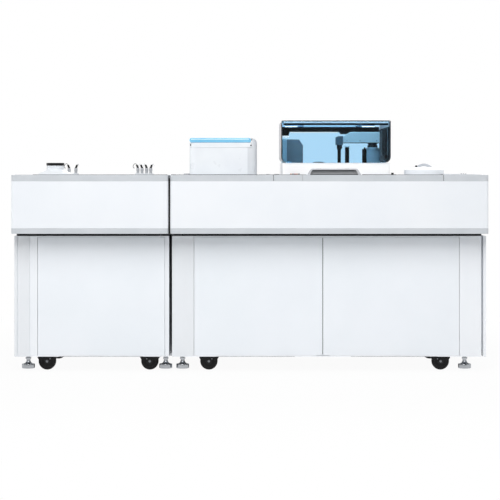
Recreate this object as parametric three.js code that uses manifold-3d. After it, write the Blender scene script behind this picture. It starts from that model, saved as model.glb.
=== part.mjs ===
// Immunoassay analyzer of two floor-standing modules, in millimetres.
// X runs to the right, Y to the back and Z up. The origin is on the floor,
// under the middle of the machine.

import * as THREE from 'three';
import { mergeVertices } from 'three/addons/utils/BufferGeometryUtils.js';
import Module from 'manifold-3d';

const wasm = await Module();
wasm.setup();

// Fits
const gap = 0.3;
const doorGap = 1.5;
const runningGap = 1;
const overrun = 2;

// Numbers of flat sides on round pieces and of steps on a quarter corner
const roundSides = 20;
const smallSides = 10;
const cornerSteps = 3;

// The whole machine
const machine = { width: 2150, depth: 830, leftWidth: 708, moduleGap: 8 };

// Lower cabinets
const cabinet = {
  floorClearance: 67,
  height: 549,
  setBack: 100,
  rearInset: 15,
  wall: 13,
  basePlate: 12,
  baseRise: 29,
  topPlate: 16,
  lip: 4,
  apron: 4,
  jambWidth: 12,
  jambDepth: 15,
  seamWidth: 2.5,
  seamDepth: 4,
  neckHeight: 13,
  neckInset: 40,
  neckWidth: 60,
};
const door = { thickness: 22, cornerRadius: 3, pinRadius: 3, pinLength: 10, pinInset: 6 };
const leftFront = { sideInset: 3, post: 57, strip: 35, rightStrip: 18, rightInset: 1 };
const rightFront = {
  sideInset: 5,
  post: 99,
  firstDoor: 587,
  rightPost: 98.5,
  endGap: 9,
  endGapDepth: 30,
  mullion: 60,
};

// Upper housings
const trimHeight = 25;
const housing = { height: 212, wall: 4, cornerRadius: 13 };
const deck = { thickness: 28, seamWidth: 2, seamDepth: 3 };
const seamPlaces = { first: 465, second: 595.5, fromRight: 203.6 };
const gasket = { frontInset: 12, rearInset: 15, drop: 14 };

// Casters and levelling feet
const wheel = { radius: 40, width: 26, edge: 4, sides: 16 };
const caster = {
  trail: 18,
  axleRadius: 5,
  cheekThickness: 4,
  cheekWidth: 28,
  cheekBottom: 32,
  sideGap: 1.5,
  bridge: 5,
  bridgeLength: 54,
  fenderLength: 92,
  fenderHeight: 6,
  fenderBottom: 50,
  headRadius: 27,
  headHeight: 8,
};
const foot = {
  padRadius: 30,
  padHeight: 21,
  padEdge: 4,
  floorGap: 11,
  hexRadius: 19,
  hexHeight: 12,
  studRadius: 9,
  socketRadius: 14,
  socketHeight: 20,
};
const casterInsets = { leftOuter: 145, leftInner: 92, rightInner: 171, rightOuter: 200.5 };
const footInsets = { leftOuter: 63, leftInner: 17, rightInner: 52, rightOuter: 94 };
const casterRows = { front: 187, back: 115 };
const footRows = { front: 138, back: 70 };

// Rear covers
const rearCover = { sideInset: 4, lowInset: 12, topInset: 6, thickness: 12 };
const vent = { height: 6, pitch: 16, count: 8, topInset: 70, lengthShare: 0.3, sideShare: 0.12 };

// Left deck
const domeCover = {
  inset: 175,
  setBack: 250,
  radius: 78,
  rim: 5,
  wall: 3,
  neckRadius: 40,
  domeHeight: 19,
  neckHeight: 24,
};
const knob = { radius: 41.5, height: 12, crown: 1.5, plugDepth: 14 };
const reactionDisc = {
  radius: 64,
  height: 22,
  wellDepth: 55,
  wellWall: 4,
};
const cuvettes = { count: 12, radius: 5, edge: 9, height: 6 };
const spindle = { radius: 8, shoulder: 16, shoulderHeight: 10, height: 26 };
const washRow = { setBack: 355 };
const washPost = { radius: 7.5, height: 32, base: 6, baseMargin: 6, pinRadius: 5, pinLength: 22 };
const washFitting = { radius: 4.5, length: 34, tilt: 0.95 };
const washLeft = { inset: 229, steps: [0, 32] };
const washRight = { inset: 551, steps: [0, 19.5, 41, 60] };

// Hopper
const hopper = {
  inset: 85.5,
  width: 305.5,
  setBack: 60,
  depth: 300,
  height: 168,
  cornerRadius: 26,
  wall: 4,
  floor: 5,
  humpWidth: 22.7,
  humpRadius: 21,
};
const hopperLid = {
  height: 44.5,
  windowHeight: 21.5,
  frameWall: 9,
  windowWall: 3,
  endRadius: 10,
  rail: 4,
  axisDrop: 5,
  knuckleRadius: 5,
  knuckleLength: 40,
  knuckleInset: 30,
  pinRadius: 2,
  faceGap: 1,
};

// Hood
const hood = {
  inset: 501,
  width: 495,
  setBack: 40,
  depth: 700,
  height: 192,
  wall: 5,
  topRadius: 6,
  lowRadius: 27,
  knuckleRadius: 7,
  knuckleLength: 60,
  knuckleInset: 30,
  pinRadius: 3,
};
const plinth = { height: 55, wall: 12, sideInset: 4, rearDepth: 18 };
const hoodBack = { sideGap: 3, thickness: 12, top: 15, beamDepth: 22, beamHeight: 25 };
const grip = {
  inset: 239.5,
  width: 246,
  topWidth: 212,
  height: 28,
  rim: 7,
  depth: 34,
  floor: 3,
  proud: 2,
  bottomLip: 3,
};

// Inside the hood
const armColumn = {
  rightInset: 65,
  setBack: 285,
  radius: 33,
  height: 129,
  railWidth: 15,
  railDepth: 30,
};
const arm = {
  reach: 138,
  width: 64,
  bottom: 147,
  height: 52,
  slope: 18,
  slopeLength: 34,
  edge: 5,
  collarRadius: 24,
  spindleRadius: 14,
  spindleLength: 60,
};
const probe = {
  blockWidth: 34,
  blockDepth: 44,
  blockHeight: 42,
  blockBottom: 138,
  legRadius: 8,
  legDrop: 95,
  tipRadius: 2,
  tipDrop: 10,
};
const reader = {
  inset: 30,
  width: 74,
  setBack: 210,
  depth: 330,
  height: 164,
  chamferWidth: 18,
  chamferHeight: 28,
};
const mast = {
  rightInset: 169.5,
  setBack: 565,
  width: 19,
  depth: 40,
  height: 136,
  footWidth: 46,
  footDepth: 66,
  footHeight: 10,
};

// Reagent place
const reagentLid = {
  rightInset: 274,
  setBack: 200,
  radius: 91,
  rim: 23,
  wall: 4,
  rise: 12.5,
  seatRadius: 44,
  shoulder: 4,
};
const handle = { span: 75, rise: 16, thickness: 14, bar: 9, width: 15 };
const carousel = {
  radius: 82,
  height: 18,
  wellDepth: 116,
  wellWall: 4,
};
const bottles = { count: 8, radius: 17, edge: 26, height: 62 };

// Tank in the left cabinet
const tank = {
  left: 70,
  front: 90,
  width: 260,
  depth: 330,
  height: 300,
  corner: 24,
  neckRadius: 32,
  neckHeight: 28,
};

// Places worked out from the sizes above
const left = -machine.width / 2;
const right = machine.width / 2;
const front = -machine.depth / 2;
const back = machine.depth / 2;
const leftEnd = left + machine.leftWidth;
const rightStart = leftEnd + machine.moduleGap;
const cabinetTop = cabinet.floorClearance + cabinet.height;
const trimBottom = cabinetTop + cabinet.neckHeight;
const housingBottom = trimBottom + trimHeight;
const deckBottom = housingBottom + housing.height;
const deckTop = deckBottom + deck.thickness;
const doorFace = front + cabinet.setBack;
const doorBack = doorFace + door.thickness;
const frameFace = doorBack + doorGap;
const cabinetBack = back - cabinet.rearInset;
const baseUnder = cabinet.floorClearance + cabinet.baseRise;
const baseUpper = baseUnder + cabinet.basePlate;

// The four places along a row of casters or feet, whose outer side is -1 or 1
function placesAlong(insets) {
  return [
    { name: 'left_outer', x: left + insets.leftOuter, side: -1 },
    { name: 'left_inner', x: leftEnd - insets.leftInner, side: 1 },
    { name: 'right_inner', x: rightStart + insets.rightInner, side: -1 },
    { name: 'right_outer', x: right - insets.rightOuter, side: 1 },
  ];
}

// The lines in Y of a front and a back row
function rowLines(setBacks) {
  return { front: front + setBacks.front, back: back - setBacks.back };
}

const casterPlaces = placesAlong(casterInsets);
const casterLines = rowLines(casterRows);
const footPlaces = placesAlong(footInsets);
const footLines = rowLines(footRows);

const quarterTurn = Math.PI / 2;
const machineGroup = new THREE.Group();

// Materials
function finish(color, roughness, metalness = 0) {
  return new THREE.MeshStandardMaterial({ color, roughness, metalness });
}

function tinted(color, opacity) {
  const glass = finish(color, 0.08);
  glass.transparent = true;
  glass.opacity = opacity;
  return glass;
}

const white = () => finish(0xf2f6fb, 0.42);
const bandGrey = () => finish(0xced2d7, 0.5);
const paleGrey = () => finish(0xdde1e6, 0.45);
const black = () => finish(0x17181a, 0.55);
const steel = () => finish(0xc9cdd2, 0.25, 0.9);

// A closed mesh with its shared corners merged and its faces turned out
function solid(geometry) {
  geometry.deleteAttribute('normal');
  geometry.deleteAttribute('uv');
  const merged = mergeVertices(geometry);
  const corners = [];
  const index = merged.index.array;
  for (let i = 0; i < index.length; i += 3) {
    const [a, b, c] = [index[i], index[i + 1], index[i + 2]];
    if (a !== b && b !== c && c !== a) corners.push(a, b, c);
  }
  const body = makeManifold(merged, corners);
  return body.volume() > 0 ? body : makeManifold(merged, corners.reverse());
}

function makeManifold(merged, corners) {
  return new wasm.Manifold(new wasm.Mesh({
    numProp: 3,
    vertProperties: new Float32Array(merged.attributes.position.array),
    triVerts: new Uint32Array(corners),
  }));
}

// A block between two opposite corners
function block([x0, x1], [y0, y1], [z0, z1]) {
  const geometry = new THREE.BoxGeometry(x1 - x0, y1 - y0, z1 - z0);
  geometry.translate((x0 + x1) / 2, (y0 + y1) / 2, (z0 + z1) / 2);
  return solid(geometry);
}

// A rectangle whose four corners, from the low left one round, have their own radius
function roundedOutline([u0, u1], [v0, v1], radii) {
  const shape = new THREE.Shape();
  const corners = [[u0, v0, 1, 1], [u1, v0, -1, 1], [u1, v1, -1, -1], [u0, v1, 1, -1]];
  corners.forEach(([u, v, inU, inV], i) => {
    const radius = radii[i];
    const start = Math.PI + i * quarterTurn;
    if (radius > 0) {
      shape.absarc(u + inU * radius, v + inV * radius, radius, start, start + quarterTurn);
    } else if (i === 0) {
      shape.moveTo(u, v);
    } else {
      shape.lineTo(u, v);
    }
  });
  return shape;
}

// An outline through points, given as pairs
function pointOutline(points) {
  return new THREE.Shape(points.map(([u, v]) => new THREE.Vector2(u, v)));
}

function extrude(shape, length) {
  const settings = { depth: length, bevelEnabled: false, curveSegments: cornerSteps };
  return new THREE.ExtrudeGeometry(shape, settings);
}

// An outline drawn in X and Y, raised in Z
function raise(shape, [z0, z1]) {
  const geometry = extrude(shape, z1 - z0);
  geometry.translate(0, 0, z0);
  return solid(geometry);
}

// An outline drawn in X and Z, run in Y
function runBack(shape, [y0, y1]) {
  const geometry = extrude(shape, y1 - y0);
  geometry.rotateX(quarterTurn);
  geometry.translate(0, y1, 0);
  return solid(geometry);
}

// A rod along 'x', 'y' or 'z' with its other two coordinates in order
function rod(axis, radius, [from, to], [p, q], sides = smallSides) {
  const geometry = new THREE.CylinderGeometry(radius, radius, to - from, sides);
  const middle = (from + to) / 2;
  if (axis === 'x') geometry.rotateZ(quarterTurn).translate(middle, p, q);
  if (axis === 'y') geometry.translate(p, middle, q);
  if (axis === 'z') geometry.rotateX(quarterTurn).translate(p, q, middle);
  return solid(geometry);
}

// A turned solid about a vertical line, from pairs of radius and height
function turned(profile, [x, y], sides = roundSides) {
  const points = profile.map(([radius, height]) => new THREE.Vector2(radius, height));
  const geometry = new THREE.LatheGeometry(points, sides);
  geometry.rotateX(quarterTurn).translate(x, y, 0);
  return solid(geometry);
}

// Points on a quarter of an ellipse that starts level and falls to its side
function fallingCurve(radius, low, high, inner, steps) {
  const points = [];
  for (let i = 0; i <= steps; i += 1) {
    const angle = quarterTurn * (1 - i / steps);
    points.push([
      inner + (radius - inner) * Math.cos(angle),
      low + (high - low) * Math.sin(angle),
    ]);
  }
  return points;
}

function joined(solids) {
  return solids.reduce((whole, next) => whole.add(next));
}

function cut(body, tools) {
  return tools.reduce((whole, tool) => whole.subtract(tool), body);
}

// A named piece of the machine
function addPiece(name, body, material) {
  const { vertProperties, triVerts } = body.getMesh();
  const geometry = new THREE.BufferGeometry();
  geometry.setAttribute('position', new THREE.BufferAttribute(vertProperties, 3));
  geometry.setIndex(new THREE.BufferAttribute(triVerts, 1));
  geometry.computeVertexNormals();
  const mesh = new THREE.Mesh(geometry, material);
  mesh.name = name;
  machineGroup.add(mesh);
}

// Lower cabinets, open at the front and back, with a rebate for the doors,
// a raised base over the casters and a neck that carries the upper housing
function cabinetBody([x0, x1], [doorsLeft, doorsRight], openings, seams, hinges, feetX) {
  const low = cabinet.floorClearance;
  const roomX = [x0 + cabinet.wall, x1 - cabinet.wall];
  const roomZ = [baseUpper, cabinetTop - cabinet.topPlate];
  const roomFront = frameFace + cabinet.jambDepth;
  const neckX = [x0 + cabinet.neckInset, x1 - cabinet.neckInset];
  const neckY = [doorFace + cabinet.neckInset, cabinetBack - cabinet.neckInset];
  const neckZ = [cabinetTop - cabinet.topPlate, trimBottom];
  const shell = joined([
    block([x0, x1], [doorFace, cabinetBack], [low, cabinetTop]),
    block(neckX, neckY, neckZ),
  ]);
  const rebateZ = [low + cabinet.lip, cabinetTop - cabinet.lip];
  const tools = [
    block([doorsLeft, doorsRight], [doorFace - overrun, frameFace], rebateZ),
    block(roomX, [roomFront, cabinetBack + overrun], roomZ),
    block(roomX, [frameFace + cabinet.apron, cabinetBack - cabinet.wall], [low - overrun, baseUnder]),
    block(
      [neckX[0] + cabinet.neckWidth, neckX[1] - cabinet.neckWidth],
      [neckY[0] + cabinet.neckWidth, neckY[1] - cabinet.neckWidth],
      [neckZ[0] - overrun, neckZ[1] + overrun],
    ),
  ];
  for (const opening of openings) {
    tools.push(block(opening, [doorFace, roomFront + overrun], roomZ));
  }
  for (const seam of seams) {
    const seamX = [seam.x, seam.x + seam.width];
    const seamY = [doorFace - overrun, doorFace + seam.depth];
    tools.push(block(seamX, seamY, [low - overrun, cabinetTop + overrun]));
  }
  const pins = [];
  for (const x of hinges) {
    const place = [x, doorFace + door.pinInset];
    const reach = doorGap + door.pinLength;
    pins.push(rod('z', door.pinRadius, [rebateZ[0] - overrun, rebateZ[0] + reach], place));
    pins.push(rod('z', door.pinRadius, [rebateZ[1] - reach, rebateZ[1] + overrun], place));
  }
  const sockets = [];
  const bores = [];
  const boreTop = low + foot.socketHeight + 2 * overrun;
  for (const x of feetX) {
    for (const y of Object.values(footLines)) {
      const place = [x, y];
      sockets.push(rod('z', foot.socketRadius, [low, baseUnder + overrun], place));
      bores.push(rod('z', foot.studRadius + 2 * gap, [low - overrun, boreTop], place));
    }
  }
  return cut(joined([cut(shell, tools), ...pins, ...sockets]), bores);
}

const doorZ = [
  cabinet.floorClearance + cabinet.lip + doorGap,
  cabinetTop - cabinet.lip - doorGap,
];

// A door that turns on pins near its outer front edge, which is side -1 or 1
function doorBody([x0, x1], side) {
  const corner = door.cornerRadius;
  const panel = raise(roundedOutline([x0, x1], [doorFace, doorBack], [corner, corner, 0, 0]), doorZ);
  const hole = door.pinRadius + 2 * gap;
  const depth = door.pinLength + runningGap;
  const place = [hingeX([x0, x1], side), doorFace + door.pinInset];
  return cut(panel, [
    rod('z', hole, [doorZ[0] - overrun, doorZ[0] + depth], place),
    rod('z', hole, [doorZ[1] - depth, doorZ[1] + overrun], place),
  ]);
}

function hingeX([x0, x1], side) {
  return side < 0 ? x0 + door.pinInset : x1 - door.pinInset;
}

// A rear cover with two groups of level vent slots
function rearCoverBody([x0, x1]) {
  const width = x1 - x0;
  const coverX = [x0 + rearCover.sideInset, x1 - rearCover.sideInset];
  const coverZ = [cabinet.floorClearance + rearCover.lowInset, cabinetTop - rearCover.topInset];
  const coverY = [cabinetBack, cabinetBack + rearCover.thickness];
  const slotLength = width * vent.lengthShare;
  const starts = [x0 + width * vent.sideShare, x1 - width * vent.sideShare - slotLength];
  const tools = [];
  for (let i = 0; i < vent.count; i += 1) {
    const low = coverZ[1] - vent.topInset - i * vent.pitch;
    for (const start of starts) {
      const slotY = [coverY[0] - overrun, coverY[1] + overrun];
      tools.push(block([start, start + slotLength], slotY, [low, low + vent.height]));
    }
  }
  return cut(block(coverX, coverY, coverZ), tools);
}

const leftCabinetX = [left + leftFront.sideInset, leftEnd - leftFront.rightInset];
const leftPostEnd = leftCabinetX[0] + cabinet.wall + leftFront.post;
const leftDoorsX = [leftPostEnd + leftFront.strip, leftCabinetX[1] - leftFront.rightStrip];
const leftDoorX = [leftDoorsX[0] + doorGap, leftDoorsX[1] - doorGap];
const leftFeet = footPlaces.filter(({ x }) => x < leftEnd).map(({ x }) => x);
const plainSeam = { width: cabinet.seamWidth, depth: cabinet.seamDepth };

addPiece('left_cabinet', cabinetBody(
  leftCabinetX,
  leftDoorsX,
  [[leftDoorsX[0] + cabinet.jambWidth, leftDoorsX[1] - cabinet.jambWidth]],
  [
    { x: leftCabinetX[0] + cabinet.wall, ...plainSeam },
    { x: leftPostEnd, ...plainSeam },
  ],
  [hingeX(leftDoorX, -1)],
  leftFeet,
), white());
addPiece('left_door', doorBody(leftDoorX, -1), white());
addPiece('left_rear_cover', rearCoverBody(leftCabinetX), paleGrey());

const rightCabinetX = [rightStart + rightFront.sideInset, right];
const endGapX = rightCabinetX[1] - cabinet.wall - rightFront.endGap;
const rightDoorsX = [rightCabinetX[0] + rightFront.post, endGapX - rightFront.rightPost];
const doorMeeting = rightDoorsX[0] + rightFront.firstDoor;
const innerDoorX = [rightDoorsX[0] + doorGap, doorMeeting - doorGap];
const outerDoorX = [doorMeeting + doorGap, rightDoorsX[1] - doorGap];
const rightFeet = footPlaces.filter(({ x }) => x > rightStart).map(({ x }) => x);
const halfMullion = rightFront.mullion / 2;

addPiece('right_cabinet', cabinetBody(
  rightCabinetX,
  rightDoorsX,
  [
    [rightDoorsX[0] + cabinet.jambWidth, doorMeeting - halfMullion],
    [doorMeeting + halfMullion, rightDoorsX[1] - cabinet.jambWidth],
  ],
  [{ x: endGapX, width: rightFront.endGap, depth: rightFront.endGapDepth }],
  [hingeX(innerDoorX, -1), hingeX(outerDoorX, 1)],
  rightFeet,
), white());
addPiece('right_inner_door', doorBody(innerDoorX, -1), white());
addPiece('right_outer_door', doorBody(outerDoorX, 1), white());
addPiece('right_rear_cover', rearCoverBody(rightCabinetX), paleGrey());

// Upper housings, each a grey trim plate, a white ring of walls and a grey deck
const leftModuleX = [left, leftEnd];
const rightModuleX = [rightStart, right];

function moduleOutline(moduleX, inset, radius) {
  const y = [front + inset, back - inset];
  return roundedOutline([moduleX[0] + inset, moduleX[1] - inset], y, Array(4).fill(radius));
}

function plate(moduleX, z) {
  return raise(moduleOutline(moduleX, 0, housing.cornerRadius), z);
}

function housingBody(moduleX) {
  const z = [housingBottom, deckBottom];
  const room = moduleOutline(moduleX, housing.wall, housing.cornerRadius - housing.wall);
  return cut(plate(moduleX, z), [raise(room, [z[0] - overrun, z[1] + overrun])]);
}

// A round well that hangs under a deck, with a stepped spindle on its floor
function wellSolids(place, radius, depth, wall) {
  const floor = deckTop - depth;
  return {
    cup: rod('z', radius + wall, [floor - wall, deckTop - overrun], place, roundSides),
    bore: rod('z', radius, [floor, deckTop + overrun], place, roundSides),
    spindle: joined([
      rod('z', spindle.shoulder, [floor - overrun, floor + spindle.shoulderHeight], place),
      rod('z', spindle.radius, [floor - overrun, floor + spindle.height], place),
    ]),
  };
}

function discPlace(height, depth) {
  const low = deckTop - depth + spindle.shoulderHeight + gap;
  return [low, low + height];
}

const leftTrim = plate(leftModuleX, [trimBottom, housingBottom]);
const rightTrim = plate(rightModuleX, [trimBottom, housingBottom]);
addPiece('left_trim', leftTrim, bandGrey());
addPiece('right_trim', rightTrim, bandGrey());
addPiece('left_housing', housingBody(leftModuleX), white());
addPiece('right_housing', housingBody(rightModuleX), white());

addPiece('module_gasket', block(
  [leftEnd, rightStart],
  [front + gasket.frontInset, back - gasket.rearInset],
  [trimBottom, deckTop - gasket.drop],
), black());

// Left deck with the well of the reaction disc and guide holes of the wash heads
const domePlace = [left + domeCover.inset, front + domeCover.setBack];
const washY = front + washRow.setBack;
const [washLeftPlaces, washRightPlaces] = [washLeft, washRight]
  .map(({ inset, steps }) => steps.map((step) => left + inset + step));
const reactionWell = wellSolids(
  domePlace,
  reactionDisc.radius + 2 * runningGap,
  reactionDisc.wellDepth,
  reactionDisc.wellWall,
);
const washPins = [washLeftPlaces, washRightPlaces].flatMap((places) => [places[0], places.at(-1)]);
const guideHoles = washPins.map((x) => rod(
  'z',
  washPost.pinRadius + 2 * gap,
  [deckTop - washPost.pinLength - runningGap, deckTop + overrun],
  [x, washY],
));
addPiece('left_deck', cut(
  cut(joined([plate(leftModuleX, [deckBottom, deckTop]), reactionWell.cup]), [reactionWell.bore])
    .add(reactionWell.spindle),
  guideHoles,
), bandGrey());

// Right deck with the well of the reagent carousel and seams in its front band
const lidPlace = [right - reagentLid.rightInset, front + reagentLid.setBack];
const carouselWell = wellSolids(
  lidPlace,
  carousel.radius + 2 * runningGap,
  carousel.wellDepth,
  carousel.wellWall,
);
const bandSeams = [
  rightStart + seamPlaces.first,
  rightStart + seamPlaces.second,
  right - seamPlaces.fromRight,
].map((x) => block(
  [x, x + deck.seamWidth],
  [front - overrun, front + deck.seamDepth],
  [deckBottom - overrun, deckTop + overrun],
));
addPiece('right_deck', cut(
  joined([plate(rightModuleX, [deckBottom, deckTop]), carouselWell.cup]),
  [carouselWell.bore, ...bandSeams],
).add(carouselWell.spindle), bandGrey());

// Casters, whose flat lowest sides stand on the floor
const tread = wheel.radius / Math.cos(Math.PI / wheel.sides);
const wheelBore = (caster.axleRadius + gap) / Math.cos(Math.PI / wheel.sides);
const cheekInner = wheel.width / 2 + caster.sideGap;
const cheekOuter = cheekInner + caster.cheekThickness;
const headTop = baseUnder - gap;
const headBottom = headTop - caster.headHeight;
const bridgeBottom = headBottom - caster.bridge;

function wheelBody([x, y]) {
  const half = wheel.width / 2;
  const profile = [
    [wheelBore, -half],
    [tread - wheel.edge, -half],
    [tread, wheel.edge - half],
    [tread, half - wheel.edge],
    [tread - wheel.edge, half],
    [wheelBore, half],
    [wheelBore, -half],
  ];
  const points = profile.map(([radius, height]) => new THREE.Vector2(radius, height));
  const geometry = new THREE.LatheGeometry(points, wheel.sides, Math.PI / wheel.sides);
  geometry.translate(x, y, wheel.radius);
  return solid(geometry);
}

function forkBody([x, y], swivelX) {
  const around = (middle, half) => [middle - half, middle + half];
  const cheekX = around(x, caster.cheekWidth / 2);
  const cheekZ = [caster.cheekBottom, headBottom];
  const frame = joined([
    rod('z', caster.headRadius, [headBottom, headTop], [swivelX, y]),
    block(
      around(x, caster.bridgeLength / 2),
      around(y, cheekOuter),
      [bridgeBottom, headBottom + overrun],
    ),
    block(
      around(x, caster.fenderLength / 2),
      around(y, cheekOuter),
      [caster.fenderBottom, caster.fenderBottom + caster.fenderHeight],
    ),
    block(cheekX, [y - cheekOuter, y - cheekInner], cheekZ),
    block(cheekX, [y + cheekInner, y + cheekOuter], cheekZ),
  ]);
  const wheelRoom = rod(
    'y',
    tread + caster.sideGap,
    around(y, cheekInner),
    [x, wheel.radius],
    wheel.sides,
  );
  const axle = rod('y', caster.axleRadius, around(y, cheekOuter), [x, wheel.radius]);
  return cut(frame, [wheelRoom]).add(axle);
}

// Levelling feet, screwed up clear of the floor
const footTop = cabinet.floorClearance + foot.socketHeight;
const padTop = foot.floorGap + foot.padHeight;

function footBody(place) {
  return turned([
    [0, foot.floorGap],
    [foot.padRadius - foot.padEdge, foot.floorGap],
    [foot.padRadius, foot.floorGap + foot.padEdge],
    [foot.padRadius, padTop - foot.padEdge],
    [foot.hexRadius, padTop],
    [foot.studRadius, padTop + foot.hexHeight],
    [foot.studRadius, footTop],
    [0, footTop],
  ], place, smallSides);
}

for (const [row, y] of Object.entries(casterLines)) {
  for (const { name, x, side } of casterPlaces) {
    const place = [x, y];
    addPiece(`caster_fork_${name}_${row}`, forkBody(place, x - side * caster.trail), black());
    addPiece(`caster_wheel_${name}_${row}`, wheelBody(place), black());
  }
}
for (const [row, y] of Object.entries(footLines)) {
  for (const { name, x } of footPlaces) {
    addPiece(`levelling_foot_${name}_${row}`, footBody([x, y]), steel());
  }
}

// The radius that a bore needs so that its flat sides clear a round pin
function boreRadius(radius, sides) {
  return (radius + gap) / Math.cos(Math.PI / sides);
}

// Dome cover over the reaction disc, with a black cap that turns in its neck
const domeLow = deckTop + gap;
const domeHigh = domeLow + domeCover.domeHeight;
const neckTop = domeHigh + domeCover.neckHeight;
const neckInner = domeCover.neckRadius - domeCover.wall;
const domeInner = domeCover.radius - domeCover.wall;
const rimTop = domeLow + domeCover.rim;

addPiece('disc_cover', turned([
  [domeCover.neckRadius, neckTop],
  ...fallingCurve(domeCover.radius, rimTop, domeHigh, domeCover.neckRadius, cornerSteps),
  [domeCover.radius, domeLow],
  [domeInner, domeLow],
  ...fallingCurve(
    domeInner,
    rimTop - domeCover.wall,
    domeHigh - domeCover.wall,
    neckInner,
    cornerSteps,
  ).reverse(),
  [neckInner, neckTop],
  [domeCover.neckRadius, neckTop],
], domePlace), white());

const knobLow = neckTop + gap;
const knobTop = knobLow + knob.height;
const plugRadius = neckInner - runningGap;
addPiece('cover_knob', turned([
  [0, knobLow - knob.plugDepth],
  [plugRadius, knobLow - knob.plugDepth],
  [plugRadius, knobLow],
  [knob.radius, knobLow],
  [knob.radius, knobTop - knob.crown],
  [knob.radius - 2 * knob.crown, knobTop],
  [0, knobTop],
], domePlace), black());

// A disc on a spindle that carries a ring of upright vessels
function vesselDisc(place, disc, vessels) {
  const [low, high] = discPlace(disc.height, disc.wellDepth);
  const bore = boreRadius(spindle.radius, roundSides);
  const profile = [[bore, low], [disc.radius, low], [disc.radius, high], [bore, high], [bore, low]];
  const parts = [turned(profile, place)];
  const ring = disc.radius - vessels.edge;
  for (let i = 0; i < vessels.count; i += 1) {
    const angle = i / vessels.count * 2 * Math.PI;
    const vesselPlace = [place[0] + ring * Math.cos(angle), place[1] + ring * Math.sin(angle)];
    parts.push(rod('z', vessels.radius, [high - overrun, high + vessels.height], vesselPlace));
  }
  return joined(parts);
}

addPiece('reaction_disc', vesselDisc(domePlace, reactionDisc, cuvettes), black());
addPiece('reagent_carousel', vesselDisc(lidPlace, carousel, bottles), paleGrey());

// Wash heads, rows of posts with slanted fittings, whose pins slide in the deck
function slantedRod(radius, length, tilt, [x, y, z]) {
  const geometry = new THREE.CylinderGeometry(radius, radius, length, smallSides / 2);
  geometry.rotateX(quarterTurn).translate(0, 0, length / 2);
  geometry.rotateY(tilt).translate(x, y, z);
  return solid(geometry);
}

function washHead(places) {
  const seat = deckTop + gap;
  const postTop = seat + washPost.height;
  const margin = washPost.radius + washPost.baseMargin;
  const ends = [places[0], places.at(-1)];
  const parts = [block(
    [ends[0] - margin, ends[1] + margin],
    [washY - margin, washY + margin],
    [seat, seat + washPost.base],
  )];
  places.forEach((x, i) => {
    const tilt = i % 2 === 0 ? -washFitting.tilt : washFitting.tilt;
    const start = [x, washY, postTop - washFitting.radius];
    parts.push(rod('z', washPost.radius, [seat, postTop], [x, washY]));
    parts.push(slantedRod(washFitting.radius, washFitting.length, tilt, start));
  });
  for (const x of ends) {
    parts.push(rod('z', washPost.pinRadius, [deckTop - washPost.pinLength, seat + overrun], [x, washY]));
  }
  return joined(parts);
}

addPiece('wash_head_left', washHead(washLeftPlaces), paleGrey());
addPiece('wash_head_right', washHead(washRightPlaces), paleGrey());

// Hopper, a tub with a fixed hump at its hinge side
const hopperX = [rightStart + hopper.inset, rightStart + hopper.inset + hopper.width];
const hopperY = [front + hopper.setBack, front + hopper.setBack + hopper.depth];
const hopperTop = deckTop + hopper.height;
const lidSplit = hopperTop - hopperLid.height;
const humpLeft = hopperX[1] - hopper.humpWidth;
const lidAxis = [humpLeft, hopperTop - hopperLid.axisDrop];
const knuckle = hopperLid.knuckleRadius;
const lidKnuckles = [
  [hopperY[0] + hopperLid.knuckleInset, hopperY[0] + hopperLid.knuckleInset + hopperLid.knuckleLength],
  [hopperY[1] - hopperLid.knuckleInset - hopperLid.knuckleLength, hopperY[1] - hopperLid.knuckleInset],
];
const fixedKnuckle = [lidKnuckles[0][1] + runningGap, lidKnuckles[1][0] - runningGap];
const lidPinY = [lidKnuckles[0][0], lidKnuckles[1][1]];

function hopperOutline(x, y, rightRadius) {
  const corner = hopper.cornerRadius;
  return roundedOutline(x, y, [corner, rightRadius, rightRadius, corner]);
}

const hopperElevation = roundedOutline(hopperX, [deckTop, hopperTop], [0, 0, hopper.humpRadius, 0]);
const hopperRoom = hopperOutline(
  [hopperX[0] + hopper.wall, humpLeft - hopper.wall],
  [hopperY[0] + hopper.wall, hopperY[1] - hopper.wall],
  0,
);
const knuckleNotches = lidKnuckles.map(([y0, y1]) => block(
  [humpLeft - overrun, humpLeft + knuckle + runningGap],
  [y0 - runningGap, y1 + runningGap],
  [lidAxis[1] - knuckle - runningGap, hopperTop + overrun],
));
const tubBlock = cut(
  raise(hopperOutline(hopperX, hopperY, hopper.cornerRadius), [deckTop, hopperTop])
    .intersect(runBack(hopperElevation, hopperY)),
  [
    block(
      [hopperX[0] - overrun, humpLeft],
      [hopperY[0] - overrun, hopperY[1] + overrun],
      [lidSplit, hopperTop + overrun],
    ),
    raise(hopperRoom, [deckTop + hopper.floor, hopperTop]),
    ...knuckleNotches,
  ],
);
const lidPinBore = rod(
  'y',
  boreRadius(hopperLid.pinRadius, smallSides),
  [lidPinY[0] - gap, lidPinY[1] + gap],
  lidAxis,
);
addPiece('hopper_tub', cut(
  tubBlock.add(rod('y', knuckle, fixedKnuckle, lidAxis)),
  [lidPinBore],
), white());
addPiece('hopper_hinge_pin', rod('y', hopperLid.pinRadius, lidPinY, lidAxis), steel());

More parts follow.
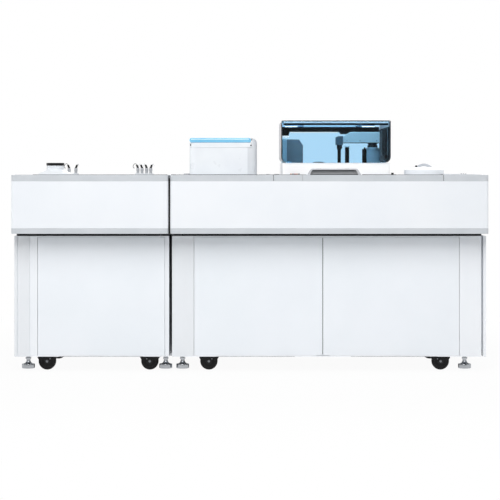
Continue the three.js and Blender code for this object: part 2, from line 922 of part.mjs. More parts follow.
// Hopper lid, a white frame with a hinge rail and a light-blue window on top
const frameLow = lidSplit + gap;
const frameTop = hopperTop - hopperLid.windowHeight;
const frameX = [hopperX[0], humpLeft - hopperLid.faceGap];
const railX = [
  humpLeft - hopperLid.axisDrop - hopperLid.faceGap - hopperLid.rail,
  humpLeft - hopperLid.axisDrop - hopperLid.faceGap,
];
const insetBy = ([low, high], inset) => [low + inset, high - inset];
const frameRing = cut(
  raise(hopperOutline(frameX, hopperY, 0), [frameLow, frameTop]),
  [raise(
    hopperOutline(
      insetBy(frameX, hopperLid.frameWall),
      insetBy(hopperY, hopperLid.frameWall),
      0,
    ),
    [frameLow - overrun, frameTop + overrun],
  )],
);
const knuckleSolids = lidKnuckles.flatMap((y) => [
  rod('y', knuckle, y, lidAxis),
  block([railX[1] - overrun, humpLeft], y, [lidAxis[1] - knuckle, hopperTop]),
]);
addPiece('hopper_lid_frame', cut(
  joined([
    frameRing,
    block(railX, insetBy(hopperY, hopperLid.knuckleInset), [frameTop - overrun, hopperTop]),
    ...knuckleSolids,
  ]),
  [lidPinBore],
), white());

const windowX = [hopperX[0], railX[0] - gap];
const windowZ = [frameTop, hopperTop];
const windowEnd = hopperLid.endRadius;
const windowShell = raise(hopperOutline(windowX, hopperY, 0), windowZ)
  .intersect(runBack(roundedOutline(windowX, windowZ, Array(4).fill(windowEnd)), hopperY));
const windowRoom = hopperOutline(
  insetBy(windowX, windowEnd + hopperLid.windowWall),
  insetBy(hopperY, hopperLid.frameWall),
  0,
);
addPiece('hopper_lid_window', cut(
  windowShell,
  [raise(windowRoom, [frameTop - overrun, hopperTop - hopperLid.windowWall])],
), tinted(0x8fd6f5, 0.75));

// Plinth that carries the hood, with a finger grip in its front
const hoodX = [rightStart + hood.inset, rightStart + hood.inset + hood.width];
const hoodY = [front + hood.setBack, front + hood.setBack + hood.depth];
const plinthTop = deckTop + plinth.height;
const hoodZ = [plinthTop + gap, plinthTop + hood.height];
const plinthX = insetBy(hoodX, plinth.sideInset);
const plinthY = [hoodY[0] + plinth.sideInset, hoodY[1] + plinth.rearDepth];
const gripX = hoodX[0] + grip.inset;

// The grip's outline, drawn in by inset, whose sides stand upright below the deck
function trapezoid(inset, low) {
  const half = grip.width / 2 - inset;
  const halfTop = grip.topWidth / 2 - inset;
  const startSide = low < deckTop ? [[gripX - half, deckTop], [gripX - half, low]] : [[gripX - half, low]];
  const endSide = low < deckTop ? [[gripX + half, low], [gripX + half, deckTop]] : [[gripX + half, low]];
  return pointOutline([
    ...startSide,
    ...endSide,
    [gripX + halfTop, deckTop + grip.height - inset],
    [gripX - halfTop, deckTop + grip.height - inset],
  ]);
}

addPiece('hood_plinth', cut(block(plinthX, plinthY, [deckTop, plinthTop]), [
  block(
    insetBy(plinthX, plinth.wall),
    [plinthY[0] + plinth.wall, hoodY[1]],
    [deckTop - overrun, plinthTop + overrun],
  ),
  runBack(
    trapezoid(-gap, deckTop - overrun),
    [plinthY[0] - overrun, plinthY[0] + plinth.wall + overrun],
  ),
]), white());
addPiece('front_grip', cut(
  runBack(trapezoid(0, deckTop + gap), [plinthY[0] - grip.proud, plinthY[0] + grip.depth]),
  [runBack(
    trapezoid(grip.rim, deckTop + grip.bottomLip),
    [plinthY[0] - grip.proud - overrun, plinthY[0] + grip.depth - grip.floor],
  )],
), black());

// Rear wall behind the hood, with a beam and the fixed hinge barrel
const hoodAxis = [hoodY[1] + hood.knuckleRadius + runningGap, hoodZ[1] - hood.knuckleRadius - runningGap];
const wallFront = hoodY[1] + runningGap;
const wallTop = hoodZ[1] - hoodBack.top;
const hoodKnuckles = [
  [hoodX[0] + hood.knuckleInset, hoodX[0] + hood.knuckleInset + hood.knuckleLength],
  [hoodX[1] - hood.knuckleInset - hood.knuckleLength, hoodX[1] - hood.knuckleInset],
];
const barrelX = [hoodKnuckles[0][1] + runningGap, hoodKnuckles[1][0] - runningGap];
const hingeWidth = 2 * hood.knuckleRadius;
const hoodPinX = [hoodKnuckles[0][0], hoodKnuckles[1][1]];

addPiece('hood_rear_wall', joined([
  block(hoodX, [wallFront, wallFront + hoodBack.thickness], [plinthTop, wallTop]),
  block(
    insetBy(hoodX, hood.wall + hoodBack.sideGap),
    [wallFront - hoodBack.beamDepth, wallFront + overrun],
    [wallTop - hoodBack.beamHeight, wallTop],
  ),
  block(barrelX, [wallFront, wallFront + hingeWidth], [wallTop - overrun, hoodAxis[1]]),
  rod('x', hood.knuckleRadius, barrelX, hoodAxis),
  rod('x', hood.pinRadius, hoodPinX, hoodAxis),
]), finish(0xacd4ef, 0.4));

// Tinted hood, open below and behind, whose low corners are rounded
const hoodShell = cut(runBack(
  roundedOutline(hoodX, hoodZ, [hood.lowRadius, hood.lowRadius, hood.topRadius, hood.topRadius]),
  hoodY,
), [
  runBack(
    roundedOutline(
      insetBy(hoodX, hood.wall),
      insetBy(hoodZ, hood.wall),
      [hood.lowRadius, hood.lowRadius, hood.topRadius, hood.topRadius].map((r) => r - hood.wall),
    ),
    [hoodY[0] + hood.wall, hoodY[1] + overrun],
  ),
  block(
    insetBy(hoodX, hood.lowRadius),
    [hoodY[0] + hood.wall, hoodY[1] + overrun],
    [hoodZ[0] - overrun, hoodZ[0] + hood.wall + overrun],
  ),
]);
const hoodHinges = hoodKnuckles.flatMap((x) => [
  rod('x', hood.knuckleRadius, x, hoodAxis),
  block(x, [hoodY[1] - overrun, hoodAxis[0]], [hoodAxis[1], hoodAxis[1] + hood.knuckleRadius]),
]);
addPiece('hood', cut(joined([hoodShell, ...hoodHinges]), [
  rod('x', boreRadius(hood.pinRadius, smallSides), insetBy(hoodPinX, -overrun), hoodAxis),
]), tinted(0x5fb4e6, 0.45));

// Pipetting arm on its column, with a probe that slides at its end
const columnPlace = [hoodX[1] - armColumn.rightInset, hoodY[0] + armColumn.setBack];
const [columnX, columnY] = columnPlace;
const columnTop = deckTop + armColumn.height;
const armLow = deckTop + arm.bottom;
const armTop = armLow + arm.height;
const armX = [columnX - arm.reach, columnX + arm.width / 2];
const armY = [columnY - arm.width / 2, columnY + arm.width / 2];
const spindleLow = columnTop - arm.spindleLength;

addPiece('arm_column', cut(joined([
  rod('z', armColumn.radius, [deckTop, columnTop], columnPlace, roundSides),
  block(
    [columnX - armColumn.radius - armColumn.railWidth, columnX],
    [columnY - armColumn.railDepth / 2, columnY + armColumn.railDepth / 2],
    [deckTop, columnTop],
  ),
]), [rod(
  'z',
  boreRadius(arm.spindleRadius, smallSides),
  [spindleLow - runningGap, columnTop + overrun],
  columnPlace,
)]), finish(0x6f8ea3, 0.4));

const armSide = pointOutline([
  [armX[0], armLow],
  [armX[1], armLow],
  [armX[1], armTop],
  [armX[0] + arm.slopeLength, armTop],
  [armX[0], armTop - arm.slope],
]);
const armEnd = arm.width / 2;
const armPlan = roundedOutline(armX, armY, [arm.edge, armEnd, armEnd, arm.edge]);
addPiece('pipette_arm', joined([
  runBack(armSide, armY).intersect(raise(armPlan, [armLow, armTop])),
  rod('z', arm.collarRadius, [columnTop + gap, armLow + overrun], columnPlace, roundSides),
  rod('z', arm.spindleRadius, [spindleLow, armLow], columnPlace),
]), finish(0x9fc3dc, 0.45));

const probeX = [armX[0] - gap - probe.blockWidth, armX[0] - gap];
const probeLow = deckTop + probe.blockBottom;
const legLow = probeLow - probe.legDrop;
const legPlace = [(probeX[0] + probeX[1]) / 2, columnY];
addPiece('pipette_probe', joined([
  block(
    probeX,
    [columnY - probe.blockDepth / 2, columnY + probe.blockDepth / 2],
    [probeLow, probeLow + probe.blockHeight],
  ),
  rod('z', probe.legRadius, [legLow, probeLow + overrun], legPlace),
  rod('z', probe.tipRadius, [legLow - probe.tipDrop, legLow + overrun], legPlace),
]), black());

// Reader housing with a chamfered top edge
const readerX = [hoodX[0] + reader.inset, hoodX[0] + reader.inset + reader.width];
const readerY = [hoodY[0] + reader.setBack, hoodY[0] + reader.setBack + reader.depth];
const readerTop = deckTop + reader.height;
addPiece('reader_housing', runBack(pointOutline([
  [readerX[0], deckTop],
  [readerX[1], deckTop],
  [readerX[1], readerTop - reader.chamferHeight],
  [readerX[1] - reader.chamferWidth, readerTop],
  [readerX[0], readerTop],
]), readerY), finish(0x43607a, 0.5));

// Mast on a foot plate
const around = (middle, width) => [middle - width / 2, middle + width / 2];
const mastX = hoodX[1] - mast.rightInset;
const mastY = hoodY[0] + mast.setBack;
addPiece('tube_mast', joined([
  block(around(mastX, mast.width), around(mastY, mast.depth), [deckTop, deckTop + mast.height]),
  block(
    around(mastX, mast.footWidth),
    around(mastY, mast.footDepth),
    [deckTop, deckTop + mast.footHeight],
  ),
]), black());

// Reagent lid with an arched handle
const lidLow = deckTop + gap;
const lidRim = lidLow + reagentLid.rim;
const lidTop = lidRim + reagentLid.rise;
const lidInner = reagentLid.radius - reagentLid.wall;
addPiece('reagent_lid', turned([
  [0, lidTop],
  [reagentLid.seatRadius, lidTop],
  [reagentLid.radius - reagentLid.shoulder, lidRim],
  [reagentLid.radius, lidRim - reagentLid.shoulder],
  [reagentLid.radius, lidLow],
  [lidInner, lidLow],
  [lidInner, lidRim - reagentLid.shoulder - reagentLid.wall],
  [reagentLid.seatRadius, lidTop - reagentLid.shoulder - reagentLid.wall],
  [0, lidTop - reagentLid.shoulder - reagentLid.wall],
], lidPlace), white());

function archPoints(halfSpan, rise, steps) {
  const points = [];
  for (let i = 0; i <= steps; i += 1) {
    const angle = Math.PI * i / steps;
    points.push([lidPlace[0] + halfSpan * Math.cos(angle), lidTop + gap + rise * Math.sin(angle)]);
  }
  return points;
}

const archSteps = 2 * cornerSteps;
const handleSpan = handle.span / 2;
addPiece('reagent_lid_handle', runBack(pointOutline([
  ...archPoints(handleSpan, handle.rise, archSteps),
  ...archPoints(handleSpan - handle.thickness, handle.rise - handle.bar, archSteps).reverse(),
]), around(lidPlace[1], handle.width)), finish(0x8f979e, 0.5));

// Waste tank in the left cabinet
const tankX = [leftCabinetX[0] + tank.left, leftCabinetX[0] + tank.left + tank.width];
const tankY = [doorFace + tank.front, doorFace + tank.front + tank.depth];
const tankTop = baseUpper + tank.height;
const tankNeck = [(tankX[0] + tankX[1]) / 2, (tankY[0] + tankY[1]) / 2];
addPiece('waste_tank', joined([
  raise(roundedOutline(tankX, tankY, Array(4).fill(tank.corner)), [baseUpper, tankTop]),
  rod('z', tank.neckRadius, [tankTop - overrun, tankTop + tank.neckHeight], tankNeck),
]), finish(0xe4e8ea, 0.6));

export default machineGroup;
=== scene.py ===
# Looks of a two-module immunoassay analyzer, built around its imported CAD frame.
# The code gives sizes in millimetres, and the scene is in metres. X runs to the right
# along the front, Y to the back and Z up.

import math

import bmesh
import bpy
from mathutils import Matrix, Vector


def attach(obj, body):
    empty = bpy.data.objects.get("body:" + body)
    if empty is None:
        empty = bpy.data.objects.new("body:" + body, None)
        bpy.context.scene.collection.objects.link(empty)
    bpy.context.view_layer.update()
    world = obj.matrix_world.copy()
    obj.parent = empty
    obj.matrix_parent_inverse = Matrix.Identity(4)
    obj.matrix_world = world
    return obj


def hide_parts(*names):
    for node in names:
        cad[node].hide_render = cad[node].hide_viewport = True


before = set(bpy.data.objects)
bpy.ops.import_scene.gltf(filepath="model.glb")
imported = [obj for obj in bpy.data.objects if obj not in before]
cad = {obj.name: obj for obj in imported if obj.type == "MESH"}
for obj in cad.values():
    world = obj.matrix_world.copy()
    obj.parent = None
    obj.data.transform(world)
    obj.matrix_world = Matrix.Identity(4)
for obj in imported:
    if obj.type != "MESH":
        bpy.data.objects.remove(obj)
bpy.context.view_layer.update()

MM = 0.001
SHARP_ANGLE = 35


# Modelling helpers


def activate(piece):
    """Leaves only this piece selected, and makes it the active one."""
    bpy.ops.object.select_all(action="DESELECT")
    piece.select_set(True)
    bpy.context.view_layer.objects.active = piece


def settle(piece, name):
    """Names a piece and moves its place and size into its mesh."""
    piece.name = piece.data.name = name
    activate(piece)
    bpy.ops.object.transform_apply(location=True, rotation=True, scale=True)
    return piece


def block(name, low, high):
    """A block between two opposite corners."""
    bpy.ops.object.select_all(action="DESELECT")
    middle = [(a + b) / 2 * MM for a, b in zip(low, high)]
    bpy.ops.mesh.primitive_cube_add(size=1, location=middle)
    piece = bpy.context.object
    piece.scale = [(b - a) * MM for a, b in zip(low, high)]
    return settle(piece, name)


def pick(piece, kind, test):
    """Opens a piece for editing with the faces or edges that pass a test selected.

    The test takes a middle in mm, and a face's normal or an edge's direction.
    """
    activate(piece)
    bpy.ops.object.mode_set(mode="EDIT")
    bpy.ops.mesh.select_mode(type=kind)
    bpy.ops.mesh.select_all(action="DESELECT")
    grid = bmesh.from_edit_mesh(piece.data)
    if kind == "FACE":
        for face in grid.faces:
            face.select_set(test(face.calc_center_median() / MM, face.normal))
    else:
        for edge in grid.edges:
            start, end = (corner.co for corner in edge.verts)
            edge.select_set(test((start + end) / 2 / MM, (end - start).normalized()))
    bmesh.update_edit_mesh(piece.data)


def leave():
    """Goes back from editing to the whole object."""
    bpy.ops.object.mode_set(mode="OBJECT")


def where(**limits):
    """A test for places inside limits in mm, such as x_min=31 or z_max=950."""
    checks = [
        ("xyz".index(key[0]), 1 if key.endswith("min") else -1, value)
        for key, value in limits.items()
    ]
    return lambda at, _: all(at[axis] * sign > value * sign for axis, sign, value in checks)


def along(axis, **limits):
    """A test for straight edges that run along an axis, 0 to 2, inside limits."""
    inside = where(**limits)
    return lambda at, run: abs(run[axis]) > 0.99 and inside(at, run)


def facing(axis, sign=1):
    """A test for flat faces that look along an axis, or against it with a sign of -1."""
    return lambda at, normal: normal[axis] * sign > 0.99


def resize(x, y, z, centre):
    """Resizes what is selected about a point in mm."""
    bpy.ops.transform.resize(value=(x, y, z), center_override=[c * MM for c in centre])


def draw_rings(rings, place):
    """Draws what is selected out from ring to ring, each with a radius and a height."""
    for (before, start), (after, end) in zip(rings, rings[1:]):
        step = (0, 0, (end - start) * MM)
        bpy.ops.mesh.extrude_region_move(TRANSFORM_OT_translate={"value": step})
        resize(after / before, after / before, 1, (*place, end))


def inset(thickness, depth=0, apart=False):
    """Insets the selected faces, together or apart, and moves them in by a depth."""
    bpy.ops.mesh.inset(thickness=thickness * MM, depth=-depth * MM, use_individual=apart)


def panel(piece, test, *steps, apart=False):
    """Insets the faces that pass a test, step by step, each a thickness and a depth."""
    pick(piece, "FACE", test)
    for step in steps:
        inset(*step, apart)
    leave()
    return piece


def taper(piece, test, factors, centre):
    """Resizes the faces that pass a test about a point in mm."""
    pick(piece, "FACE", test)
    resize(*factors, centre)
    leave()
    return piece


def bevel(piece, width, segments, test):
    """Rounds the edges of a piece that pass a test."""
    pick(piece, "EDGE", test)
    bpy.ops.mesh.bevel(offset=width * MM, segments=segments, affect="EDGES")
    leave()
    return piece


def modify(piece, kind, **settings):
    """Adds a modifier with its settings and applies it."""
    activate(piece)
    modifier = piece.modifiers.new(kind.title(), kind)
    for key, value in settings.items():
        setattr(modifier, key, value)
    bpy.ops.object.modifier_apply(modifier=modifier.name)


def smooth(piece, angle=40):
    """Shades a piece smooth, but for its sharp edges, with its flat faces kept flat."""
    activate(piece)
    bpy.ops.object.shade_smooth_by_angle(angle=math.radians(angle))
    modify(piece, "WEIGHTED_NORMAL", keep_sharp=True)
    return piece


def soften(piece, width, segments=2):
    """Rounds every sharp edge a little, as moulding and folding leave it."""
    modify(
        piece, "BEVEL", width=width * MM, segments=segments,
        limit_method="ANGLE", angle_limit=math.radians(SHARP_ANGLE),
    )
    return smooth(piece)


def subtract(piece, *tools, operation="DIFFERENCE"):
    """Cuts other pieces out of a piece and takes them away."""
    for tool in tools:
        modify(piece, "BOOLEAN", operation=operation, solver="EXACT", object=tool)
        bpy.data.objects.remove(tool)
    return piece


def bisect(piece, place, outward, **options):
    """Cuts through a whole piece at a plane through a place in mm."""
    activate(piece)
    bpy.ops.object.mode_set(mode="EDIT")
    bpy.ops.mesh.select_all(action="SELECT")
    bpy.ops.mesh.bisect(
        plane_co=[c * MM for c in place], plane_no=Vector(outward).normalized(), **options
    )
    leave()


def plane_cut(piece, place, outward):
    """Cuts a piece off flat at a plane, and closes the cut."""
    bisect(piece, place, outward, clear_outer=True, use_fill=True)


def stepped_top(piece, drops):
    """Cuts a piece across at places along X, and lowers its top there by a drop in mm."""
    for x in drops:
        bisect(piece, (x, 0, 0), (1, 0, 0))
    for x, drop in drops.items():
        top = max(corner[2] for corner in piece.bound_box) / MM
        pick(piece, "EDGE", along(1, x_min=x - 0.1, x_max=x + 0.1, z_min=top - 12))
        bpy.ops.transform.translate(value=(0, 0, -drop * MM))
        leave()
    return piece


def fuse(name, pieces):
    """Joins pieces into one object."""
    bpy.ops.object.select_all(action="DESELECT")
    for piece in pieces:
        piece.select_set(True)
    bpy.context.view_layer.objects.active = pieces[0]
    bpy.ops.object.join()
    return settle(pieces[0], name)


def turned(name, rings, place=(0, 0), sides=64):
    """A turned piece about an upright line, drawn out ring by ring."""
    (radius, low), (top_radius, high) = rings[:2]
    centre = (place[0] * MM, place[1] * MM, (low + high) / 2 * MM)
    bpy.ops.object.select_all(action="DESELECT")
    bpy.ops.mesh.primitive_cone_add(
        vertices=sides, radius1=radius * MM, radius2=top_radius * MM,
        depth=(high - low) * MM, location=centre,
    )
    piece = settle(bpy.context.object, name)
    pick(piece, "FACE", facing(2))
    draw_rings(rings[1:], place)
    leave()
    return piece


def bored(piece, rings, place):
    """Hollows a turned piece from below, ring by ring upwards, from a rim of one width."""
    low = min(corner[2] for corner in piece.bound_box) / MM
    pick(piece, "FACE", lambda at, normal: normal.z < -0.99 and at.z < low + 0.1)
    inset(rings[0][0])
    draw_rings(rings[1:], place)
    leave()
    return piece


def rod(name, radius, start, end, sides=32):
    """A round rod between two points."""
    start, end = Vector(start) * MM, Vector(end) * MM
    run = end - start
    bpy.ops.object.select_all(action="DESELECT")
    bpy.ops.mesh.primitive_cylinder_add(
        vertices=sides, radius=radius * MM, depth=run.length, location=(start + end) / 2,
        rotation=run.to_track_quat("Z", "Y").to_euler(),
    )
    return settle(bpy.context.object, name)


def pipe(name, points, radius, sides=12):
    """A bent pipe along a smooth curve through points."""
    bpy.ops.object.select_all(action="DESELECT")
    bpy.ops.curve.primitive_bezier_curve_add(location=(0, 0, 0))
    path = bpy.context.object
    knots = path.data.splines[0].bezier_points
    knots.add(len(points) - len(knots))
    for knot, point in zip(knots, points):
        knot.co = Vector(point) * MM
        knot.handle_left_type = knot.handle_right_type = "AUTO"
    path.data.dimensions = "3D"
    path.data.bevel_depth = radius * MM
    path.data.bevel_resolution = sides // 4 - 1
    path.data.resolution_u = 8
    path.data.use_fill_caps = True
    activate(path)
    bpy.ops.object.convert(target="MESH")
    piece = settle(bpy.context.object, name)
    bpy.ops.object.shade_smooth_by_angle(angle=math.radians(50))
    return piece


def twin(piece, name, x=0, y=0, z=0):
    """A copy of a piece with its own mesh, moved by a step in mm."""
    activate(piece)
    bpy.ops.object.duplicate(linked=False)
    copy = bpy.context.object
    copy.location = (x * MM, y * MM, z * MM)
    return settle(copy, name)


def dress(piece, material):
    """Gives a piece one material all over."""
    piece.data.materials.clear()
    piece.data.materials.append(material)
    for face in piece.data.polygons:
        face.material_index = 0
    return piece


def part_dress(piece, material, test):
    """Gives the faces of a piece whose middle in mm passes a test a second material."""
    piece.data.materials.append(material)
    for face in piece.data.polygons:
        if test(face.center / MM, face.normal):
            face.material_index = len(piece.data.materials) - 1


def fit(piece, body, material, slot, *nodes):
    """Gives a piece its finish and body, and hides the nodes that it stands for."""
    if material:
        dress(piece, material)
    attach(piece, body)
    if nodes:
        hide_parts(*nodes)
    return piece


def add_block(name, low, high, rounding, soft, *fitting):
    """A block that is rounded, softened and fitted.

    The rounding has a width, segments and a test, and a soft width of 0 leaves edges as
    they are. The fitting is the rest of what fit takes.
    """
    piece = block(name, low, high)
    if rounding:
        bevel(piece, *rounding)
    return fit(soften(piece, soft) if soft else smooth(piece), *fitting)


def add_turned(name, rings, place, sides, angle, *fitting):
    """A turned piece, smooth up to an angle, and fitted."""
    return fit(smooth(turned(name, rings, place, sides), angle), *fitting)


# Materials


def linear(colour):
    """An sRGB hex colour as linear red, green, blue and alpha."""
    channels = [int(colour[i : i + 2], 16) / 255 for i in (1, 3, 5)]
    return [c / 12.92 if c <= 0.04045 else ((c + 0.055) / 1.055) ** 2.4 for c in channels] + [1]


def add_node(tree, kind, inputs=None, **settings):
    """Adds a node with its settings, and sets or links its inputs."""
    node = tree.nodes.new(kind)
    for key, value in settings.items():
        setattr(node, key, value)
    for key, value in (inputs or {}).items():
        if isinstance(value, bpy.types.NodeSocket):
            tree.links.new(value, node.inputs[key])
        else:
            node.inputs[key].default_value = value
    return node


def maths(tree, operation, a, b=0.0):
    """The result of a sum on two values."""
    return add_node(tree, "ShaderNodeMath", {0: a, 1: b}, operation=operation).outputs["Value"]


def spread(tree, value, low, high, to_low=0.0, to_high=1.0, course="LINEAR"):
    """A value that is moved from one range to another."""
    return add_node(
        tree, "ShaderNodeMapRange",
        {"Value": value, "From Min": low, "From Max": high, "To Min": to_low, "To Max": to_high},
        interpolation_type=course,
    ).outputs["Result"]


def noise(tree, place, size, detail, roughness=0.5):
    """A drift between 0 and 1 with features this many mm apart."""
    return add_node(
        tree, "ShaderNodeTexNoise",
        {"Vector": place, "Scale": 1 / (size * MM), "Detail": detail, "Roughness": roughness},
    ).outputs["Fac"]


def seen_directly(tree):
    """The light path, and 1 where the camera sees a thing straight, mirrored or through a pane."""
    path = add_node(tree, "ShaderNodeLightPath").outputs
    seen = maths(tree, "MAXIMUM", path["Is Camera Ray"], path["Is Glossy Ray"])
    return path, maths(tree, "MAXIMUM", seen, path["Is Transmission Ray"])


def shader(name, **sockets):
    """A material with a plain shader, and its object coordinates."""
    material = bpy.data.materials.new(name)
    material.use_nodes = True
    tree = material.node_tree
    surface = tree.nodes["Principled BSDF"]
    for key, value in sockets.items():
        surface.inputs[key.replace("_", " ")].default_value = value
    place = add_node(tree, "ShaderNodeTexCoord").outputs["Object"]
    return material, tree, surface, place


def mottle(tree, surface, place, light, dark, size):
    """Colour that drifts softly between two hex colours over a size in mm."""
    drift = spread(tree, noise(tree, place, size, 3, 0.55), 0.35, 0.65)
    mix = add_node(
        tree, "ShaderNodeMix", {"Factor": drift, "A": linear(dark), "B": linear(light)},
        data_type="RGBA",
    )
    tree.links.new(mix.outputs["Result"], surface.inputs["Base Color"])


def uneven_gloss(tree, surface, place, size, low, high):
    """Roughness that drifts between two values, as handling and dust leave it."""
    drift = spread(tree, noise(tree, place, size, 4), 0.3, 0.7, low, high)
    tree.links.new(drift, surface.inputs["Roughness"])


def textured(name, light, dark, roughness, sizes, depth, stretch=None, **sockets):
    """A material whose colour, gloss and relief each vary over a size in mm."""
    material, tree, surface, place = shader(name, **sockets)
    colour_size, gloss_size, relief_size = sizes
    mottle(tree, surface, place, light, dark, colour_size)
    uneven_gloss(tree, surface, place, gloss_size, *roughness)
    if stretch:
        mapping = add_node(tree, "ShaderNodeMapping", {"Vector": place, "Scale": stretch})
        place = mapping.outputs["Vector"]
    bump = add_node(
        tree, "ShaderNodeBump",
        {"Height": noise(tree, place, relief_size, 2), "Distance": depth * MM, "Strength": 1.0},
    )
    tree.links.new(bump.outputs["Normal"], surface.inputs["Normal"])
    return material


def painted(name, light, dark, roughness=(0.36, 0.46), peel=1.6, shine=0.5):
    """Powder coat on sheet steel: an even satin film with a fine orange peel."""
    return textured(
        name, light, dark, roughness, (420, 160, peel), 0.02, IOR=1.5, Specular_IOR_Level=shine,
    )


def moulded(name, light, dark, roughness=(0.42, 0.52), grit=0.9, depth=0.03, ior=1.54, shine=0.5):
    """Moulded plastic from a spark-eroded tool: a fine even grit that breaks its shine."""
    return textured(
        name, light, dark, roughness, (90, 60, grit), depth, IOR=ior, Specular_IOR_Level=shine,
    )


def brushed(name, light, dark, stretch, roughness):
    """Brushed metal: hairlines run one way and draw its highlights out across them."""
    return textured(name, light, dark, roughness, (40, 14, 1.2), 0.02, stretch, Metallic=1.0)


def clear_tinted(name, tint, roughness, ior=1.3):
    """Clear tinted plastic: evenly coloured, with faint wipe marks in its gloss.

    The hood's IOR is below that of plain acrylic, because the real pane hardly mirrors the
    room.
    """
    material, tree, surface, place = shader(name, IOR=ior, Transmission_Weight=1.0)
    surface.inputs["Base Color"].default_value = linear(tint)
    uneven_gloss(tree, surface, place, 70, *roughness)
    return material


# Coats on sheet steel: wide, soft highlights that keep the flat panels calm
white_coat = painted("powder_coated_steel_white", "#f3f6fa", "#eff3f8")
shell_white = painted("powder_coated_shell_white", "#eff2f6", "#ebeff4")
# A darker copy of the white coat: painted shade on the front faces of the corner posts.
post_shade_white = painted("powder_coated_post_white", "#ebeef2", "#e7ebef")
# A lighter copy of the white coat: its extra brightness is a painted highlight, on the recessed
# frame facing beside the left door and on the sills.
frame_highlight_white = painted("powder_coated_inner_frame_white", "#fdfeff", "#f9fbfd")
white_lacquer = painted("lacquered_door_white", "#f1f5fa", "#edf2f7", (0.34, 0.42), 2.2)
cover_grey = painted("powder_coated_cover_grey", "#dfe2e6", "#d9dde2", (0.42, 0.52))
column_coat = painted("powder_coated_column_blue_grey", "#a9c2cf", "#9fb9c6", (0.4, 0.5))
fork_steel = painted(
    "powder_coated_fork_black", "#141516", "#0d0e0f", (0.4, 0.5), 1.0, shine=0.3,
)
# Pale plastics: satin where they are handled, gloss where they are polished
grey_abs = moulded("moulded_abs_band_grey", "#cbcfd4", "#c5cacf")
pale_abs = moulded("moulded_abs_pale_grey", "#dfe2e6", "#d6dade")
white_abs = moulded("polished_abs_white", "#f2f5f9", "#edf1f6", (0.2, 0.3), 1.4, 0.012)
plinth_white = moulded("gloss_abs_plinth_white", "#ffffff", "#fcfdff", (0.3, 0.4), 1.4, 0.01)
dome_white = moulded("gloss_abs_dome_white", "#e4e8ec", "#e0e4e9", (0.3, 0.4), 1.4, 0.01)
cover_white = moulded("gloss_abs_cover_white", "#eef1f5", "#eaeef2", (0.5, 0.6), 1.4, 0.01)
tub_white = moulded("gloss_abs_hopper_white", "#edf1f5", "#e9edf2", (0.26, 0.36), 1.4, 0.01)
# A darker copy of the hopper white: painted shade on the tub's rounded right end.
tub_shade = moulded("gloss_abs_hopper_side_grey", "#dce0e5", "#d7dbe0", (0.3, 0.4), 1.4, 0.01)
rim_abs = moulded("satin_abs_rim_grey", "#cdced2", "#c3c4c8", (0.3, 0.42))
handle_pc = moulded("moulded_pc_handle_grey", "#c6cad0", "#bbc0c6", (0.3, 0.4))
post_grey = moulded("moulded_pom_post_grey", "#b2b4b8", "#a6a8ac", (0.3, 0.4), 1.2, 0.02)
arm_abs = moulded("moulded_abs_arm_white", "#dcf0f5", "#d5ebf1", (0.35, 0.45))
sky_abs = moulded("moulded_abs_side_blue_grey", "#c6e8f5", "#bce0ef", (0.4, 0.5))
slate_abs = moulded("moulded_abs_slate", "#7a8a94", "#72828c")
probe_slate = moulded("moulded_abs_probe_slate", "#566b79", "#4f6471")
# Blown polythene: waxy, with a slow ripple
natural_hdpe = moulded(
    "blow_moulded_hdpe_natural", "#e6ebe9", "#d9e0de", (0.38, 0.5), 3.5, 0.08,
)
# Blue and clear plastics: sharp highlights over a deep, even colour
ice_blue = moulded("polished_acrylic_edge_blue", "#a5dcf6", "#93d0ef", (0.15, 0.25), 2.0, 0.01)
# A paler blue that paints the highlight line along the top of the lid window's front.
pale_blue_highlight = moulded(
    "polycarbonate_bead_pale_blue", "#cdf2fd", "#c2ecfa", (0.12, 0.2), 2.5, 0.008, 1.58,
)
blue_lid = moulded(
    "polycarbonate_lid_sky_blue", "#86cef1", "#79c4ec", (0.1, 0.18), 2.5, 0.008, 1.58,
)
clear_ps = clear_tinted("moulded_clear_polystyrene", "#eef4f7", (0.03, 0.08), 1.45)
hood_acrylic = clear_tinted("cast_acrylic_hood_blue", "#d4eefe", (0.02, 0.06))
# Blacks: only their gloss tells them apart, from the bright knob to the dead foam
gloss_black = moulded(
    "gloss_abs_cap_black", "#0d0e10", "#090a0b", (0.3, 0.42), 1.2, 0.01, shine=0.25,
)
black_abs = moulded("moulded_abs_black", "#1b1c1e", "#131415", (0.38, 0.5), 0.8, 0.04)
beam_black = moulded(
    "matt_black_beam", "#070808", "#040505", (0.5, 0.65), 1.2, 0.03, shine=0.12,
)
hub_nylon = moulded(
    "glass_filled_nylon_hub", "#191a1c", "#121315", (0.3, 0.42), 1.0, 0.03, shine=0.32,
)
tread_rubber = moulded(
    "polyurethane_tread_black", "#101112", "#0a0b0c", (0.45, 0.6), 1.4, 0.06, shine=0.28,
)
closed_foam = moulded(
    "closed_cell_foam_black", "#141516", "#0c0d0e", (0.8, 0.95), 1.1, 0.12,
)
# Soft greys: dull seals, a grip with a velvet touch, and a dark plastic that paints the shade in
# gaps, seams and recesses
seal_grey = moulded("moulded_tpe_seal_grey", "#8e9195", "#83868a", (0.55, 0.7))
grip_grey = moulded("soft_touch_grip_grey", "#a9aaad", "#9fa0a3", (0.5, 0.65), 1.0, 0.05)
seam_shade = moulded("shadow_gap_abs_dark", "#3a3d41", "#2f3235")
# Caps and stoppers: small even colour accents with a satin skin
cap_blue, cap_white, cap_red, cap_green, cap_amber = (
    moulded("moulded_pp_cap_" + name, light, dark, (0.32, 0.42), 1.0, 0.02)
    for name, light, dark in (
        ("blue", "#3f86c9", "#3679ba"), ("white", "#eceff1", "#e3e7ea"),
        ("red", "#b8302f", "#a92828"), ("green", "#4c9a5b", "#428c50"),
        ("amber", "#c98a4a", "#b97a3c"),
    )
)
cap_brown = moulded(
    "moulded_rubber_stopper_brown", "#6a4a38", "#5b3f30", (0.55, 0.7), 1.0, 0.03,
)
